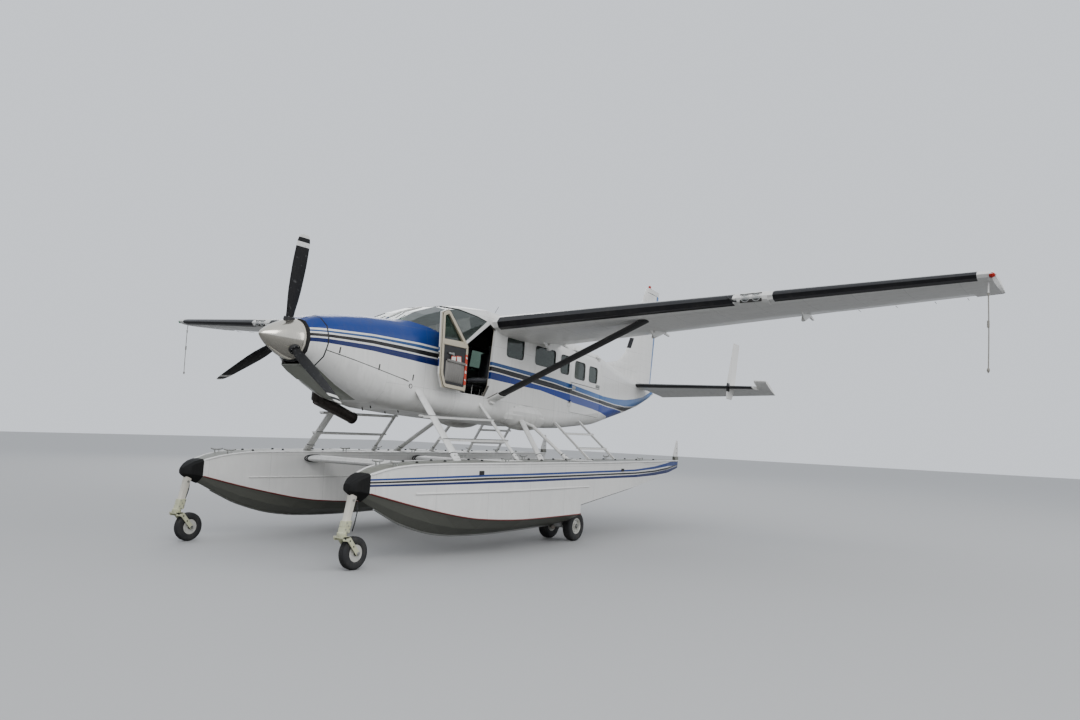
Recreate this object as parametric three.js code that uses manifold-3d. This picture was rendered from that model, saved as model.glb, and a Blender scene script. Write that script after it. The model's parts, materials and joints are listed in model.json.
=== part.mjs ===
// Amphibious utility floatplane with one turbine engine and a strutted high wing.
// Millimetres, +X aft, +Y starboard, +Z up. The tyres stand on z = 0 and the origin
// is under the middle of the aircraft. The fuselage, wing and tail are drawn with the
// propeller shaft level, from the spinner tip, and then pitched up to the parked attitude.
import * as THREE from 'three';
import { mergeVertices } from 'three/addons/utils/BufferGeometryUtils.js';
import Module from 'manifold-3d';

const wasm = await Module();
wasm.setup();
const radians = THREE.MathUtils.degToRad;

// Whole aircraft
const spinnerHeight = 2820;
const parkedPitch = radians(3);
const gap = 0.3;
const bearingPlay = 0.15;
const sides = [-1, 1];
const doorGap = 6;

// Fuselage skin
const skin = 45;
const cowlSkin = 14;
const cowlFront = 560;
const firewall = 1700;
const rearBulkhead = 7640;
const floorLevel = -420;
const cornerSteps = 3;
// at: station, half: half width, top and bottom: crown and keel, upper and lower: corner radii
const fuselageSections = [
  { at: 560, half: 335, top: 282, bottom: -292, upper: 270, lower: 270 },
  { at: 630, half: 415, top: 322, bottom: -330, upper: 290, lower: 300 },
  { at: 740, half: 490, top: 365, bottom: -388, upper: 320, lower: 350 },
  { at: 1090, half: 570, top: 435, bottom: -570, upper: 340, lower: 400 },
  { at: 1450, half: 635, top: 487, bottom: -700, upper: 350, lower: 390 },
  { at: 2095, half: 730, top: 540, bottom: -760, upper: 370, lower: 290 },
  { at: 2530, half: 765, top: 765, bottom: -765, upper: 470, lower: 240 },
  { at: 2966, half: 790, top: 926, bottom: -770, upper: 480, lower: 220 },
  { at: 3300, half: 805, top: 985, bottom: -770, upper: 380, lower: 215 },
  { at: 3800, half: 812, top: 1010, bottom: -770, upper: 190, lower: 210 },
  { at: 5830, half: 812, top: 1000, bottom: -740, upper: 190, lower: 210 },
  { at: 6250, half: 805, top: 970, bottom: -705, upper: 230, lower: 215 },
  { at: 7640, half: 690, top: 860, bottom: -530, upper: 230, lower: 240 },
  { at: 8420, half: 545, top: 770, bottom: -360, upper: 230, lower: 240 },
  { at: 9350, half: 370, top: 680, bottom: -150, upper: 180, lower: 190 },
  { at: 10200, half: 225, top: 615, bottom: 75, upper: 120, lower: 140 },
  { at: 10900, half: 95, top: 560, bottom: 320, upper: 60, lower: 70 },
  { at: 11210, half: 22, top: 495, bottom: 445, upper: 15, lower: 15 },
];

// Openings in the fuselage side, as station and height of each corner
const windshieldOutline = [[2120, 545], [3110, 330], [3150, 350], [3690, 790], [2990, 960], [2500, 1100]];
const crewDoorOutline = [[3150, -400], [3750, -400], [3860, -215], [3925, 690], [3760, 760], [3160, 305]];
const crewWindowOutline = [[3290, 335], [3850, 305], [3862, 640], [3752, 690]];
// Cabin windows: front and rear station, sill and head
const cabinWindows = {
  front: { from: 4250, to: 4740, low: 315, high: 655 },
  second: { from: 5084, to: 5730, low: 305, high: 630 },
  third: { from: 5906, to: 6215, low: 262, high: 605 },
  cargoFront: { from: 6430, to: 6867, low: 235, high: 565 },
  cargoRear: { from: 7030, to: 7407, low: 245, high: 550 },
  entry: { from: 6480, to: 6850, low: 235, high: 565 },
};
const sideWindows = ['front', 'second', 'third'];
const windowCorner = 70;
const paneThickness = 8;
// Two-part doors at the rear of the cabin: front and rear station, split and head
const cargoDoor = { from: 6300, to: 7570, low: -400, split: 150, high: 745 };
const entryDoor = { from: 6350, to: 6980, low: -400, split: 150, high: 745 };
const crewDoorRest = radians(172);
const crewHinges = [-290, 130];
const cargoHinges = [-300, 0];
const knuckle = { radius: 11, length: 60 };
const hingeOut = 14;
const hingeRise = 6;

// Propeller and spinner
const hubFront = 330;
const hubBack = 525;
const bladeAt = 431;
const hubRadius = 105;
const collarRadius = 262;
const pinGap = 0.7;
const firstBlade = radians(6.8);
const spinnerBack = 505;
// Spinner line as station and radius
const spinnerProfile = [[0, 0], [20, 32], [60, 68], [140, 124], [250, 184], [360, 235], [440, 262], [505, 278]];
// out: distance from the shaft, pitch: blade angle from the disc
const bladeSections = [
  { out: 60, chord: 104, thick: 104, pitch: 105 },
  { out: 262, chord: 112, thick: 92, pitch: 105 },
  { out: 380, chord: 165, thick: 60, pitch: 102 },
  { out: 650, chord: 225, thick: 36, pitch: 94 },
  { out: 990, chord: 225, thick: 22, pitch: 86 },
  { out: 1290, chord: 195, thick: 14, pitch: 81 },
  { out: 1380, chord: 140, thick: 10, pitch: 80 },
  { out: 1400, chord: 70, thick: 8, pitch: 80 },
];
// Chin scoop: half width and its lower and upper line at each station
const chinSections = [
  { at: 562, half: 190, low: -335, high: -205 },
  { at: 700, half: 235, low: -400, high: -200 },
  { at: 900, half: 250, low: -490, high: -200 },
];
const exhaust = { from: [1250, 180, -120], skin: [1520, 500, -700], end: [2350, 600, -905], radius: 85 };

// Wing, measured at its root rib and tip rib
const wingRoot = { y: 800, lead: 3803, rise: 800, chord: 1980, thick: 0.174, incidence: 2.6 };
const wingTip = { y: 7830, lead: 3965, rise: 1159, chord: 1220, thick: 0.12, incidence: -0.5 };
const halfSpan = 7940;
const flapSpan = { from: 880, to: 5800, hinge: 0.72 };
const aileronSpan = { from: 5812, to: 7600, hinge: 0.76 };
const flapDrop = 95;
const flapArms = [980, 3020, 5420];
const hingePin = 10;
const controlGap = 8;
const wingCamber = 0.018;
const lampSpan = { from: 4840, to: 5260 };
const ropeAt = 4170;
const ropeY = 7854;
const ropeRise = 988;
const ropeLength = 950;
const ropeRadius = 7;
const tieRod = { radius: 9, tall: 175, eye: 22, drop: 14 };
// How far down the rope each point is, as a share, and how far it bows outward
const ropeBow = [[0, 0], [0.25, 3], [0.5, 5], [0.75, 3], [1, 0]];
const strutFoot = { at: 3930, y: 806, rise: -440 };
const strutHead = { at: 4240, y: 3260, rise: 790 };
const wingStrutSize = { chord: 215, thick: 66 };
const strutCuffSize = { chord: 250, thick: 92, share: 0.105 };
const strutSides = 14;

// Tail
// lead and rear: stations of the leading and trailing edges at the middle and at the tips
const stabilizer = { y: 3120, tipFrom: 2860, lead: [9780, 10080], rear: [10930, 10740], level: 520, thick: 0.1 };
const elevatorHinge = 10460;
const elevatorRoot = 225;
const elevatorSlant = 220;
const elevatorDroop = radians(20);
const torqueTube = 20;
const beacon = { at: 10790, radius: 30, tall: 70 };
const finlet = { y: 2330, lead: 9985, chord: 420, up: 960, down: 250 };
// Fin lines as station and height, and its thickness at each height
const finTop = 2900;
const finHeights = [560, 760, 1010, 1260, 2000, finTop];
const finLead = [[8200, 560], [8300, 760], [9450, 1010], [9790, 1260], [10640, finTop]];
const finRear = [[11070, 560], [11290, finTop]];
const finThick = [[130, 560], [130, 1260], [80, finTop]];
const rudderHinge = [[10300, 560], [10690, finTop]];
const rudderSpan = { low: 650, high: 2790 };

// Floats, drawn level
const floatY = 1610;
// at: station, deck and chine half widths, keel, chine, deck edge and crown heights
const floatSections = [
  { at: 130, deck: 42, chine: 36, keel: 915, edge: 935, side: 975, crown: 1002 },
  { at: 200, deck: 88, chine: 80, keel: 880, edge: 925, side: 1025, crown: 1052 },
  { at: 270, deck: 108, chine: 100, keel: 842, edge: 924, side: 1064, crown: 1092 },
  { at: 400, deck: 138, chine: 131, keel: 790, edge: 893, side: 1113, crown: 1133 },
  { at: 600, deck: 184, chine: 178, keel: 693, edge: 840, side: 1168, crown: 1188 },
  { at: 800, deck: 224, chine: 219, keel: 598, edge: 788, side: 1204, crown: 1224 },
  { at: 1050, deck: 266, chine: 262, keel: 490, edge: 727, side: 1228, crown: 1248 },
  { at: 1500, deck: 338, chine: 336, keel: 357, edge: 628, side: 1241, crown: 1261 },
  { at: 1900, deck: 400, chine: 399, keel: 289, edge: 553, side: 1246, crown: 1266 },
  { at: 2300, deck: 450, chine: 450, keel: 256, edge: 507, side: 1248, crown: 1268 },
  { at: 3100, deck: 500, chine: 500, keel: 235, edge: 465, side: 1250, crown: 1270 },
  { at: 4640, deck: 500, chine: 500, keel: 255, edge: 460, side: 1250, crown: 1270 },
  { at: 4645, deck: 500, chine: 490, keel: 440, edge: 600, side: 1250, crown: 1270 },
  { at: 6640, deck: 450, chine: 430, keel: 690, edge: 830, side: 1250, crown: 1270 },
  { at: 8200, deck: 270, chine: 250, keel: 930, edge: 1010, side: 1250, crown: 1270 },
  { at: 9120, deck: 70, chine: 60, keel: 1075, edge: 1105, side: 1238, crown: 1258 },
];
// The slanted edge of a float's deck
const deckEdge = { width: 22, rise: 12 };
// The rail along each side of a float: its stations and height
const railStations = [1050, 1500, 1900, 2300, 3100, 4890];
const railRise = 875;
const noseWheel = { at: 300, radius: 195, width: 115, rim: 98 };
const casterAt = 95;
const mainWheel = { at: 4880, radius: 234, width: 150, rim: 120, offset: 230 };
const axleRadius = 20;
const tyreSides = 16;
const rudderPost = { at: 9185, rise: 1300 };
const pinRadius = 9;
// Bracket cheeks for a water rudder: reach ahead of and behind its pin, near and far face
const rudderCheek = { ahead: 110, behind: 26, low: 60, near: 14, far: 34 };
const spreaderRise = 1155;
const spreaderFront = { at: 2080, chord: 330, thick: 105 };
const spreaderRear = { at: 4400, chord: 300, thick: 100 };
const spreaderInset = 200;
const overallLength = 11426.3;

// Struts, steps and ladders between floats and fuselage, above the ground
const stepRails = [
  { from: 2040, to: 3690, y: 1010, z: 1866 },
  { from: 2160, to: 3715, y: 1282, z: 1552 },
];
// Station of each rail at the fuselage and at the deck
const ladderRails = [[5800, 6130], [6700, 7060]];
const ladderTreads = [
  { from: 5930, to: 6890, y: 950, z: 1700 },
  { from: 6020, to: 6990, y: 1185, z: 1450 },
];
const blisterSize = { at: 4950, y: 690, rise: -620, long: 660, wide: 240, tall: 225 };
// Seats: station of the back's foot, distance from the middle and width
const seatBack = { foot: 90, lean: 120, tall: 620, top: 30 };
const seatRows = [
  { back: 3480, y: 345, width: 470 },
  { back: 4520, y: 400, width: 430 },
  { back: 5330, y: 400, width: 430 },
  { back: 6140, y: 400, width: 430 },
];

// Solids

// A closed geometry as a solid, turned to face outward.
function toSolid(geometry) {
  geometry.deleteAttribute('normal');
  geometry.deleteAttribute('uv');
  const merged = mergeVertices(geometry, 1e-3);
  const at = merged.attributes.position;
  const corner = (i) => new THREE.Vector3().fromBufferAttribute(at, i);
  const faces = [];
  let volume = 0;
  for (let i = 0; i < merged.index.count; i += 3) {
    const [a, b, c] = [0, 1, 2].map((k) => merged.index.getX(i + k));
    if (a === b || b === c || c === a) continue;
    faces.push([a, b, c]);
    volume += corner(a).dot(corner(b).cross(corner(c)));
  }
  const outward = volume > 0 ? faces : faces.map(([a, b, c]) => [a, c, b]);
  return new wasm.Manifold(new wasm.Mesh({
    numProp: 3,
    vertProperties: new Float32Array(at.array),
    triVerts: new Uint32Array(outward.flat()),
  }));
}

function join(first, ...others) {
  return others.reduce((sum, next) => sum.add(next), first);
}

function cut(first, ...others) {
  return others.reduce((rest, next) => rest.subtract(next), first);
}

// Triangles that close a flat ring, wound the way the ring runs.
function capOf(ring) {
  const normal = new THREE.Vector3();
  ring.forEach((p, i) => normal.add(p.clone().cross(ring[(i + 1) % ring.length])));
  const [a, b] = ['x', 'y', 'z'].sort((p, q) => Math.abs(normal[p]) - Math.abs(normal[q]));
  const flat = ring.map((p) => new THREE.Vector2(p[a], p[b]));
  const runs = Math.sign(THREE.ShapeUtils.area(flat));
  return THREE.ShapeUtils.triangulateShape(flat, []).map(([i, j, k]) => {
    const turns = Math.sign(THREE.ShapeUtils.area([flat[i], flat[j], flat[k]]));
    return turns === runs ? [i, j, k] : [i, k, j];
  });
}

// A solid skinned over rings of points, all with the same count.
function loft(rings) {
  const count = rings[0].length;
  const last = (rings.length - 1) * count;
  const index = capOf(rings[0]).flatMap(([i, j, k]) => [i, k, j]);
  index.push(...capOf(rings.at(-1)).flatMap((face) => face.map((i) => i + last)));
  for (let start = 0; start < last; start += count) {
    for (let i = 0; i < count; i++) {
      const a = start + i;
      const b = start + ((i + 1) % count);
      index.push(a, b, b + count, a, b + count, a + count);
    }
  }
  const geometry = new THREE.BufferGeometry();
  const positions = rings.flat().flatMap((p) => [p.x, p.y, p.z]);
  geometry.setAttribute('position', new THREE.Float32BufferAttribute(positions, 3));
  geometry.setIndex(index);
  return toSolid(geometry);
}

function block(x0, x1, y0, y1, z0, z1) {
  const geometry = new THREE.BoxGeometry(Math.abs(x1 - x0), Math.abs(y1 - y0), Math.abs(z1 - z0));
  return toSolid(geometry.translate((x0 + x1) / 2, (y0 + y1) / 2, (z0 + z1) / 2));
}

// A round bar between two points.
function rod(from, to, radius, sides = 12) {
  const start = new THREE.Vector3(...from);
  const along = new THREE.Vector3(...to).sub(start);
  const geometry = new THREE.CylinderGeometry(radius, radius, along.length(), sides);
  geometry.translate(0, along.length() / 2, 0);
  const turn = new THREE.Quaternion().setFromUnitVectors(new THREE.Vector3(0, 1, 0), along.clone().normalize());
  return toSolid(geometry.applyQuaternion(turn).translate(start.x, start.y, start.z));
}

// A streamlined bar between two points, its chord along X.
function strut(from, to, chord, thick, sides = 12) {
  const ends = [new THREE.Vector3(...from), new THREE.Vector3(...to)];
  const fore = new THREE.Vector3(1, 0, 0);
  const across = ends[1].clone().sub(ends[0]).cross(fore).normalize();
  return loft(ends.map((end) => Array.from({ length: sides }, (_, i) => {
    const turn = (i / sides) * 2 * Math.PI;
    return end.clone().addScaledVector(fore, (Math.cos(turn) * chord) / 2)
      .addScaledVector(across, (Math.sin(turn) * thick) / 2);
  })));
}

// A rectangular bar between two points, its width along X.
function beam(from, to, width, depth) {
  const ends = [new THREE.Vector3(...from), new THREE.Vector3(...to)];
  const fore = new THREE.Vector3(1, 0, 0);
  const across = ends[1].clone().sub(ends[0]).cross(fore).normalize();
  const corners = [[-1, -1], [1, -1], [1, 1], [-1, 1]];
  return loft(ends.map((end) => corners.map(([i, j]) =>
    end.clone().addScaledVector(fore, (i * width) / 2).addScaledVector(across, (j * depth) / 2))));
}

// A side outline of stations and heights, carried across from one Y to another.
function sidePrism(outline, y0, y1) {
  const shape = new THREE.Shape(outline.map(([x, z]) => new THREE.Vector2(x, z)));
  const depth = Math.abs(y1 - y0);
  const geometry = new THREE.ExtrudeGeometry(shape, { depth, bevelEnabled: false });
  return toSolid(geometry.rotateX(Math.PI / 2).translate(0, Math.max(y0, y1), 0));
}

// A side outline with round corners.
function roundedPrism(from, to, low, high, corner, y0, y1) {
  const shape = new THREE.Shape();
  shape.moveTo(from + corner, low);
  shape.lineTo(to - corner, low);
  shape.quadraticCurveTo(to, low, to, low + corner);
  shape.lineTo(to, high - corner);
  shape.quadraticCurveTo(to, high, to - corner, high);
  shape.lineTo(from + corner, high);
  shape.quadraticCurveTo(from, high, from, high - corner);
  shape.lineTo(from, low + corner);
  shape.quadraticCurveTo(from, low, from + corner, low);
  const depth = Math.abs(y1 - y0);
  const geometry = new THREE.ExtrudeGeometry(shape, { depth, bevelEnabled: false, curveSegments: 2 });
  return toSolid(geometry.rotateX(Math.PI / 2).translate(0, Math.max(y0, y1), 0));
}

// A profile of radius and length turned about the Y axis.
function turned(profile, sides) {
  return new THREE.LatheGeometry(profile.map(([r, y]) => new THREE.Vector2(r, y)), sides);
}

// An outline moved in toward its own middle, or out where the distance is negative.
function shrunk(outline, distance) {
  const points = outline.map(([x, z]) => new THREE.Vector2(x, z));
  const runs = Math.sign(THREE.ShapeUtils.area(points));
  return points.map((point, i) => {
    const before = points.at(i - 1).clone().sub(point).normalize();
    const after = points[(i + 1) % points.length].clone().sub(point).normalize();
    const normal = new THREE.Vector2(-after.y, after.x).multiplyScalar(runs);
    const half = Math.sqrt((1 - before.dot(after)) / 2);
    const inward = before.add(after).normalize();
    const side = Math.sign(inward.dot(normal)) || 1;
    return [point.x + (inward.x * distance * side) / half, point.y + (inward.y * distance * side) / half];
  });
}

// A solid carried into another place by a matrix.
function moved(solid, matrix) {
  return toSolid(geometryOf(solid).applyMatrix4(matrix));
}

function geometryOf(solid) {
  const { vertProperties, triVerts } = solid.getMesh();
  const geometry = new THREE.BufferGeometry();
  geometry.setAttribute('position', new THREE.BufferAttribute(new Float32Array(vertProperties), 3));
  geometry.setIndex(new THREE.BufferAttribute(new Uint32Array(triVerts), 1));
  return geometry;
}

// Fuselage

function fuselageSection(at) {
  const after = Math.max(1, fuselageSections.findIndex((s) => s.at >= at));
  const [a, b] = [fuselageSections[after - 1], fuselageSections[after]];
  const t = (at - a.at) / (b.at - a.at);
  const mixed = { at };
  for (const key of ['half', 'top', 'bottom', 'upper', 'lower']) mixed[key] = a[key] + (b[key] - a[key]) * t;
  return mixed;
}

// One section as a rounded rectangle, moved inside the skin line by an inset.
function fuselageRing(section, inset) {
  const steps = cornerSteps;
  const half = section.half - inset;
  const upper = Math.max(section.upper - inset, 6);
  const lower = Math.max(section.lower - inset, 6);
  const corners = [
    { y: half - upper, z: section.top - inset - upper, r: upper },
    { y: upper - half, z: section.top - inset - upper, r: upper },
    { y: lower - half, z: section.bottom + inset + lower, r: lower },
    { y: half - lower, z: section.bottom + inset + lower, r: lower },
  ];
  return corners.flatMap((corner, quarter) => Array.from({ length: steps + 1 }, (_, i) => {
    const turn = (quarter + i / steps) * (Math.PI / 2);
    const [y, z] = [Math.cos(turn), Math.sin(turn)].map((share) => corner.r * share);
    return new THREE.Vector3(section.at, corner.y + y, corner.z + z);
  }));
}

// The fuselage between two stations, as a solid inside the skin line.
function fuselageBody(from, to, inset = 0) {
  const between = fuselageSections.map((s) => s.at).filter((at) => at > from + 1 && at < to - 1);
  return loft([from, ...between, to].map((at) => fuselageRing(fuselageSection(at), inset)));
}

// A layer of the cabin wall between two depths below the skin line.
function wallLayer(outer, inner) {
  const outerBody = fuselageBody(firewall + 60, rearBulkhead - 5, outer);
  return cut(outerBody, fuselageBody(firewall + 50, rearBulkhead, inner));
}

const wall = wallLayer(0, skin);
const glassLayer = wallLayer(12, 12 + paneThickness);

const reach = 1200;
const acrossSide = (side) => [side * 300, side * reach];

function windowPrism(window, side, grow = 0) {
  return roundedPrism(window.from - grow, window.to + grow, window.low - grow, window.high + grow,
    windowCorner, ...acrossSide(side));
}

function outlinePrism(outline, side, distance = 0) {
  return sidePrism(distance ? shrunk(outline, distance) : outline, ...acrossSide(side));
}

// Doors and their hinges

// An outline of widths and heights on one side, carried along between two stations.
function crossPrism(outline, side, x0, x1) {
  return loft([x0, x1].map((x) => outline.map(([y, z]) => new THREE.Vector3(x, side * y, z))));
}

// An outline of stations and widths on one side, carried up between two heights.
function planPrism(outline, side, z0, z1) {
  return loft([z0, z1].map((z) => outline.map(([x, y]) => new THREE.Vector3(x, side * y, z))));
}

function doorHole(door, side) {
  return sidePrism([[door.from, door.low], [door.to, door.low], [door.to, door.high], [door.from, door.high]],
    ...acrossSide(side));
}

function doorPanel(door, side, low, high) {
  const outline = [[door.from, low], [door.to, low], [door.to, high], [door.from, high]];
  return wall.intersect(outlinePrism(outline, side, doorGap));
}

// The long hinge of a door half, as its two ends outside the skin at one height.
function edgeHinge(door, side, rise) {
  const point = (at) => new THREE.Vector3(at, side * (fuselageSection(at).half + hingeOut), rise);
  return [point(door.from), point(door.to)];
}

const webInset = 2;

// One knuckle on a long hinge: a barrel with a web that reaches down or up to the panel it serves.
function edgeKnuckle(door, side, rise, at, towards) {
  const half = fuselageSection(at + knuckle.length / 2).half;
  const [a, b] = edgeHinge(door, side, rise);
  const on = (x) => a.clone().lerp(b, (x - door.from) / (door.to - door.from)).toArray();
  const web = [[half - 50, rise + towards * 52], [half + 5, rise + towards * 52],
    [half + hingeOut + 9, rise + towards * 3], [half + hingeOut - 9, rise],
    [half + 1.5, rise + towards * 14], [half - 50, rise + towards * 16]];
  return join(crossPrism(web, side, at + webInset, at + knuckle.length - webInset),
    rod(on(at), on(at + knuckle.length), knuckle.radius, 8));
}

// One knuckle on an upright hinge: a barrel with a web that reaches fore or aft to the skin.
function uprightKnuckle(hinge, side, low, towards) {
  const { at, out, half } = hinge;
  const web = [[at + towards * 55, half - 14], [at + towards * 55, half + 5], [at + towards * 4, out + 9],
    [at, out - 9], [at + towards * 37, half + 1.5], [at + towards * 39, half - 14]];
  return join(planPrism(web, side, low, low + knuckle.length),
    rod([at, side * out, low], [at, side * out, low + knuckle.length], knuckle.radius, 8));
}

function uprightHinge(at) {
  const { half } = fuselageSection(at);
  return { at, half, out: half + 40 };
}

const crewHinge = uprightHinge(3128);
const cargoHinge = uprightHinge(6282);
const step = knuckle.length + gap;

function crewLugs(side) {
  return crewHinges.map((low) => uprightKnuckle(crewHinge, side, low, -1));
}

function rearDoorLugs() {
  const upper = [[cargoDoor, -1], [entryDoor, 1]].flatMap(([door, side]) => edgeStations(door).map((at) =>
    edgeKnuckle(door, side, door.high + hingeRise, at, 1)));
  const sill = edgeStations(entryDoor).map((at) => edgeKnuckle(entryDoor, 1, entryDoor.low - hingeRise, at, -1));
  const front = cargoHinges.map((low) => uprightKnuckle(cargoHinge, -1, low, -1));
  return [...upper, ...sill, ...front];
}

function edgeStations(door) {
  return [door.from + 90, door.to - 90 - 2 * knuckle.length];
}

function crewDoor(side) {
  const blank = wall.intersect(outlinePrism(crewDoorOutline, side, doorGap));
  const panel = cut(blank, outlinePrism(crewWindowOutline, side));
  return join(panel, ...crewHinges.map((low) => uprightKnuckle(crewHinge, side, low + step, 1)));
}

function crewPane(side) {
  return glassLayer.intersect(outlinePrism(crewWindowOutline, side, gap));
}

function upperDoor(door, side, windows) {
  const panel = cut(doorPanel(door, side, door.split, door.high), ...windows.map((w) => windowPrism(w, side)));
  const knuckles = edgeStations(door).map((at) => edgeKnuckle(door, side, door.high + hingeRise, at + step, -1));
  return join(panel, ...knuckles);
}

function lowerCargoDoor() {
  const panel = doorPanel(cargoDoor, -1, cargoDoor.low, cargoDoor.split);
  return join(panel, ...cargoHinges.map((low) => uprightKnuckle(cargoHinge, -1, low + step, 1)));
}

function lowerEntryDoor() {
  const panel = doorPanel(entryDoor, 1, entryDoor.low, entryDoor.split);
  const knuckles = edgeStations(entryDoor).map((at) =>
    edgeKnuckle(entryDoor, 1, entryDoor.low - hingeRise, at + step, 1));
  return join(panel, ...knuckles);
}

const frameWidth = 12;
const liningEdge = 25;

// Panes held in a lining: frames through the wall and one strip inside it.
function glazing(windows, side) {
  const inner = skin + 4;
  const panes = windows.map((w) => windowPrism(w, side, -gap).intersect(glassLayer));
  const frames = windows.map((w) => cut(windowPrism(w, side, -gap), windowPrism(w, side, -frameWidth))
    .intersect(wallLayer(frameWidth, inner)));
  const strip = roundedPrism(windows[0].from - liningEdge, windows.at(-1).to + liningEdge,
    windows.at(-1).low - liningEdge, windows[0].high + liningEdge, windowCorner, ...acrossSide(side));
  const lining = cut(strip, ...windows.map((w) => windowPrism(w, side, -frameWidth)))
    .intersect(wallLayer(skin + gap, inner));
  return join(lining, ...frames, ...panes);
}

function windshield() {
  return glassLayer.intersect(sidePrism(shrunk(windshieldOutline, gap), -reach, reach));
}

// The white cuff over the wing strut's foot.
function strutCuff(side, grow = 0) {
  const foot = new THREE.Vector3(strutFoot.at, side * (strutFoot.y - 70), strutFoot.rise - 32);
  const head = new THREE.Vector3(strutHead.at, side * strutHead.y, strutHead.rise);
  const end = foot.clone().lerp(head, strutCuffSize.share + grow / foot.distanceTo(head));
  const { chord, thick } = strutCuffSize;
  return strut(foot.toArray(), end.toArray(), chord + 2 * grow, thick + 2 * grow, strutSides);
}

// Wing

// Half thickness of a wing-like section at a share of its chord.
function foilHalf(thick, x) {
  return 5 * thick * (0.2969 * Math.sqrt(x) - 0.126 * x - 0.3516 * x ** 2 + 0.2843 * x ** 3 - 0.1015 * x ** 4);
}

// A section of unit chord, from the trailing edge over the top and back underneath.
function foil(thick, camber = 0) {
  const steps = 9;
  const blunt = 0.0007;
  const shares = Array.from({ length: steps + 1 }, (_, i) => (1 - Math.cos((Math.PI * i) / steps)) / 2);
  const mean = (x) => 4 * camber * x * (1 - x);
  const upper = shares.map((x) => [x, mean(x) + foilHalf(thick, x) + blunt]).reverse();
  const lower = shares.slice(1).map((x) => [x, mean(x) - foilHalf(thick, x) - blunt]);
  return [...upper.slice(0, -1), [0, 0], ...lower];
}

// Places a section across the wing, turned nose up by its incidence.
function foilRing(section, y, grow = 0) {
  const turn = radians(section.incidence ?? 0);
  return foil(section.thick, section.camber).map(([x, z]) => {
    const along = x * section.chord + (x - 0.5) * 2 * grow;
    const up = z * section.chord + Math.sign(z) * grow;
    return new THREE.Vector3(section.lead + along * Math.cos(turn) + up * Math.sin(turn), y,
      section.rise - along * Math.sin(turn) + up * Math.cos(turn));
  });
}

function wingSection(distance) {
  const t = (distance - wingRoot.y) / (wingTip.y - wingRoot.y);
  const mixed = { camber: wingCamber };
  for (const key of ['lead', 'rise', 'chord', 'thick', 'incidence']) {
    mixed[key] = wingRoot[key] + (wingTip[key] - wingRoot[key]) * t;
  }
  return mixed;
}

// The hinge point of a control surface at a share of the chord: its place, half thickness and rear reach.
function wingPoint(distance, share) {
  const section = wingSection(distance);
  const along = share * section.chord;
  const up = 4 * section.camber * share * (1 - share) * section.chord;
  const turn = radians(section.incidence);
  return {
    x: section.lead + along * Math.cos(turn) + up * Math.sin(turn),
    z: section.rise - along * Math.sin(turn) + up * Math.cos(turn),
    half: foilHalf(section.thick, share) * section.chord,
    rear: section.chord - along,
    turn,
  };
}

// A round nose about a hinge and straight sides to the trailing edge, as distances behind and above it.
function controlOutline(half, rear) {
  const steps = 6;
  const nose = Array.from({ length: steps + 1 }, (_, i) => {
    const turn = Math.PI / 2 + (Math.PI * i) / steps;
    return [Math.cos(turn) * half, Math.sin(turn) * half];
  });
  return [...nose, [rear, -3], [rear, 3]];
}

// The space that a control surface needs: its nose with room around it and all behind the skin's lip.
function coveOutline(half, rear) {
  const room = half + controlGap;
  const lip = -0.45 * half;
  const tall = half + 150;
  const steps = 4;
  const open = Math.acos(-lip / room);
  const nose = Array.from({ length: steps + 1 }, (_, i) => {
    const turn = Math.PI - open + (2 * open * i) / steps;
    return [Math.cos(turn) * room, Math.sin(turn) * room];
  });
  return [[lip, tall], ...nose, [lip, -tall], [rear + 80, -tall], [rear + 80, tall]];
}

function placedOutline(outline, point, y) {
  return outline.map(([x, z]) => new THREE.Vector3(
    point.x + x * Math.cos(point.turn) + z * Math.sin(point.turn), y,
    point.z - x * Math.sin(point.turn) + z * Math.cos(point.turn)));
}

function wingControl(span, side) {
  return loft([span.from, span.to].map((y) => {
    const point = wingPoint(y, span.hinge);
    return placedOutline(controlOutline(point.half, point.rear), point, side * y);
  }));
}

function wingCove(span, side) {
  return loft([span.from - controlGap, span.to + controlGap].map((y) => {
    const point = wingPoint(y, span.hinge);
    return placedOutline(coveOutline(point.half, point.rear), point, side * y);
  }));
}

function flapAxis(distance) {
  const point = wingPoint(distance, flapSpan.hinge);
  return [point.x, point.z - point.half - flapDrop];
}

// A flap with the faired arms that carry it from below.
function flap(side) {
  const arms = flapArms.map((y) => {
    const [x, z] = flapAxis(y);
    const { half, rear, z: level } = wingPoint(y, flapSpan.hinge);
    const outline = [[x - 20, z - 20], [x + 24, z - 24], [x + rear * 0.75, level - 62], [x + rear + 80, level - 78],
      [x + rear + 60, level - 55], [x + rear * 0.8, level - 25], [x + 30, level - half + 14], [x - 14, z + 22]];
    return sidePrism(outline, side * (y - 16), side * (y + 16));
  });
  return join(wingControl(flapSpan, side), ...arms);
}

function wingBody(side, grow = 0) {
  const stations = [620, wingRoot.y, wingTip.y, halfSpan - 30];
  const rings = stations.map((y) => foilRing(wingSection(y), side * y, grow));
  const tip = wingSection(halfSpan);
  rings.push(foilRing({ ...tip, thick: tip.thick * 0.35, lead: tip.lead + 50, chord: tip.chord - 90 },
    side * halfSpan, grow));
  return loft(rings);
}

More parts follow.
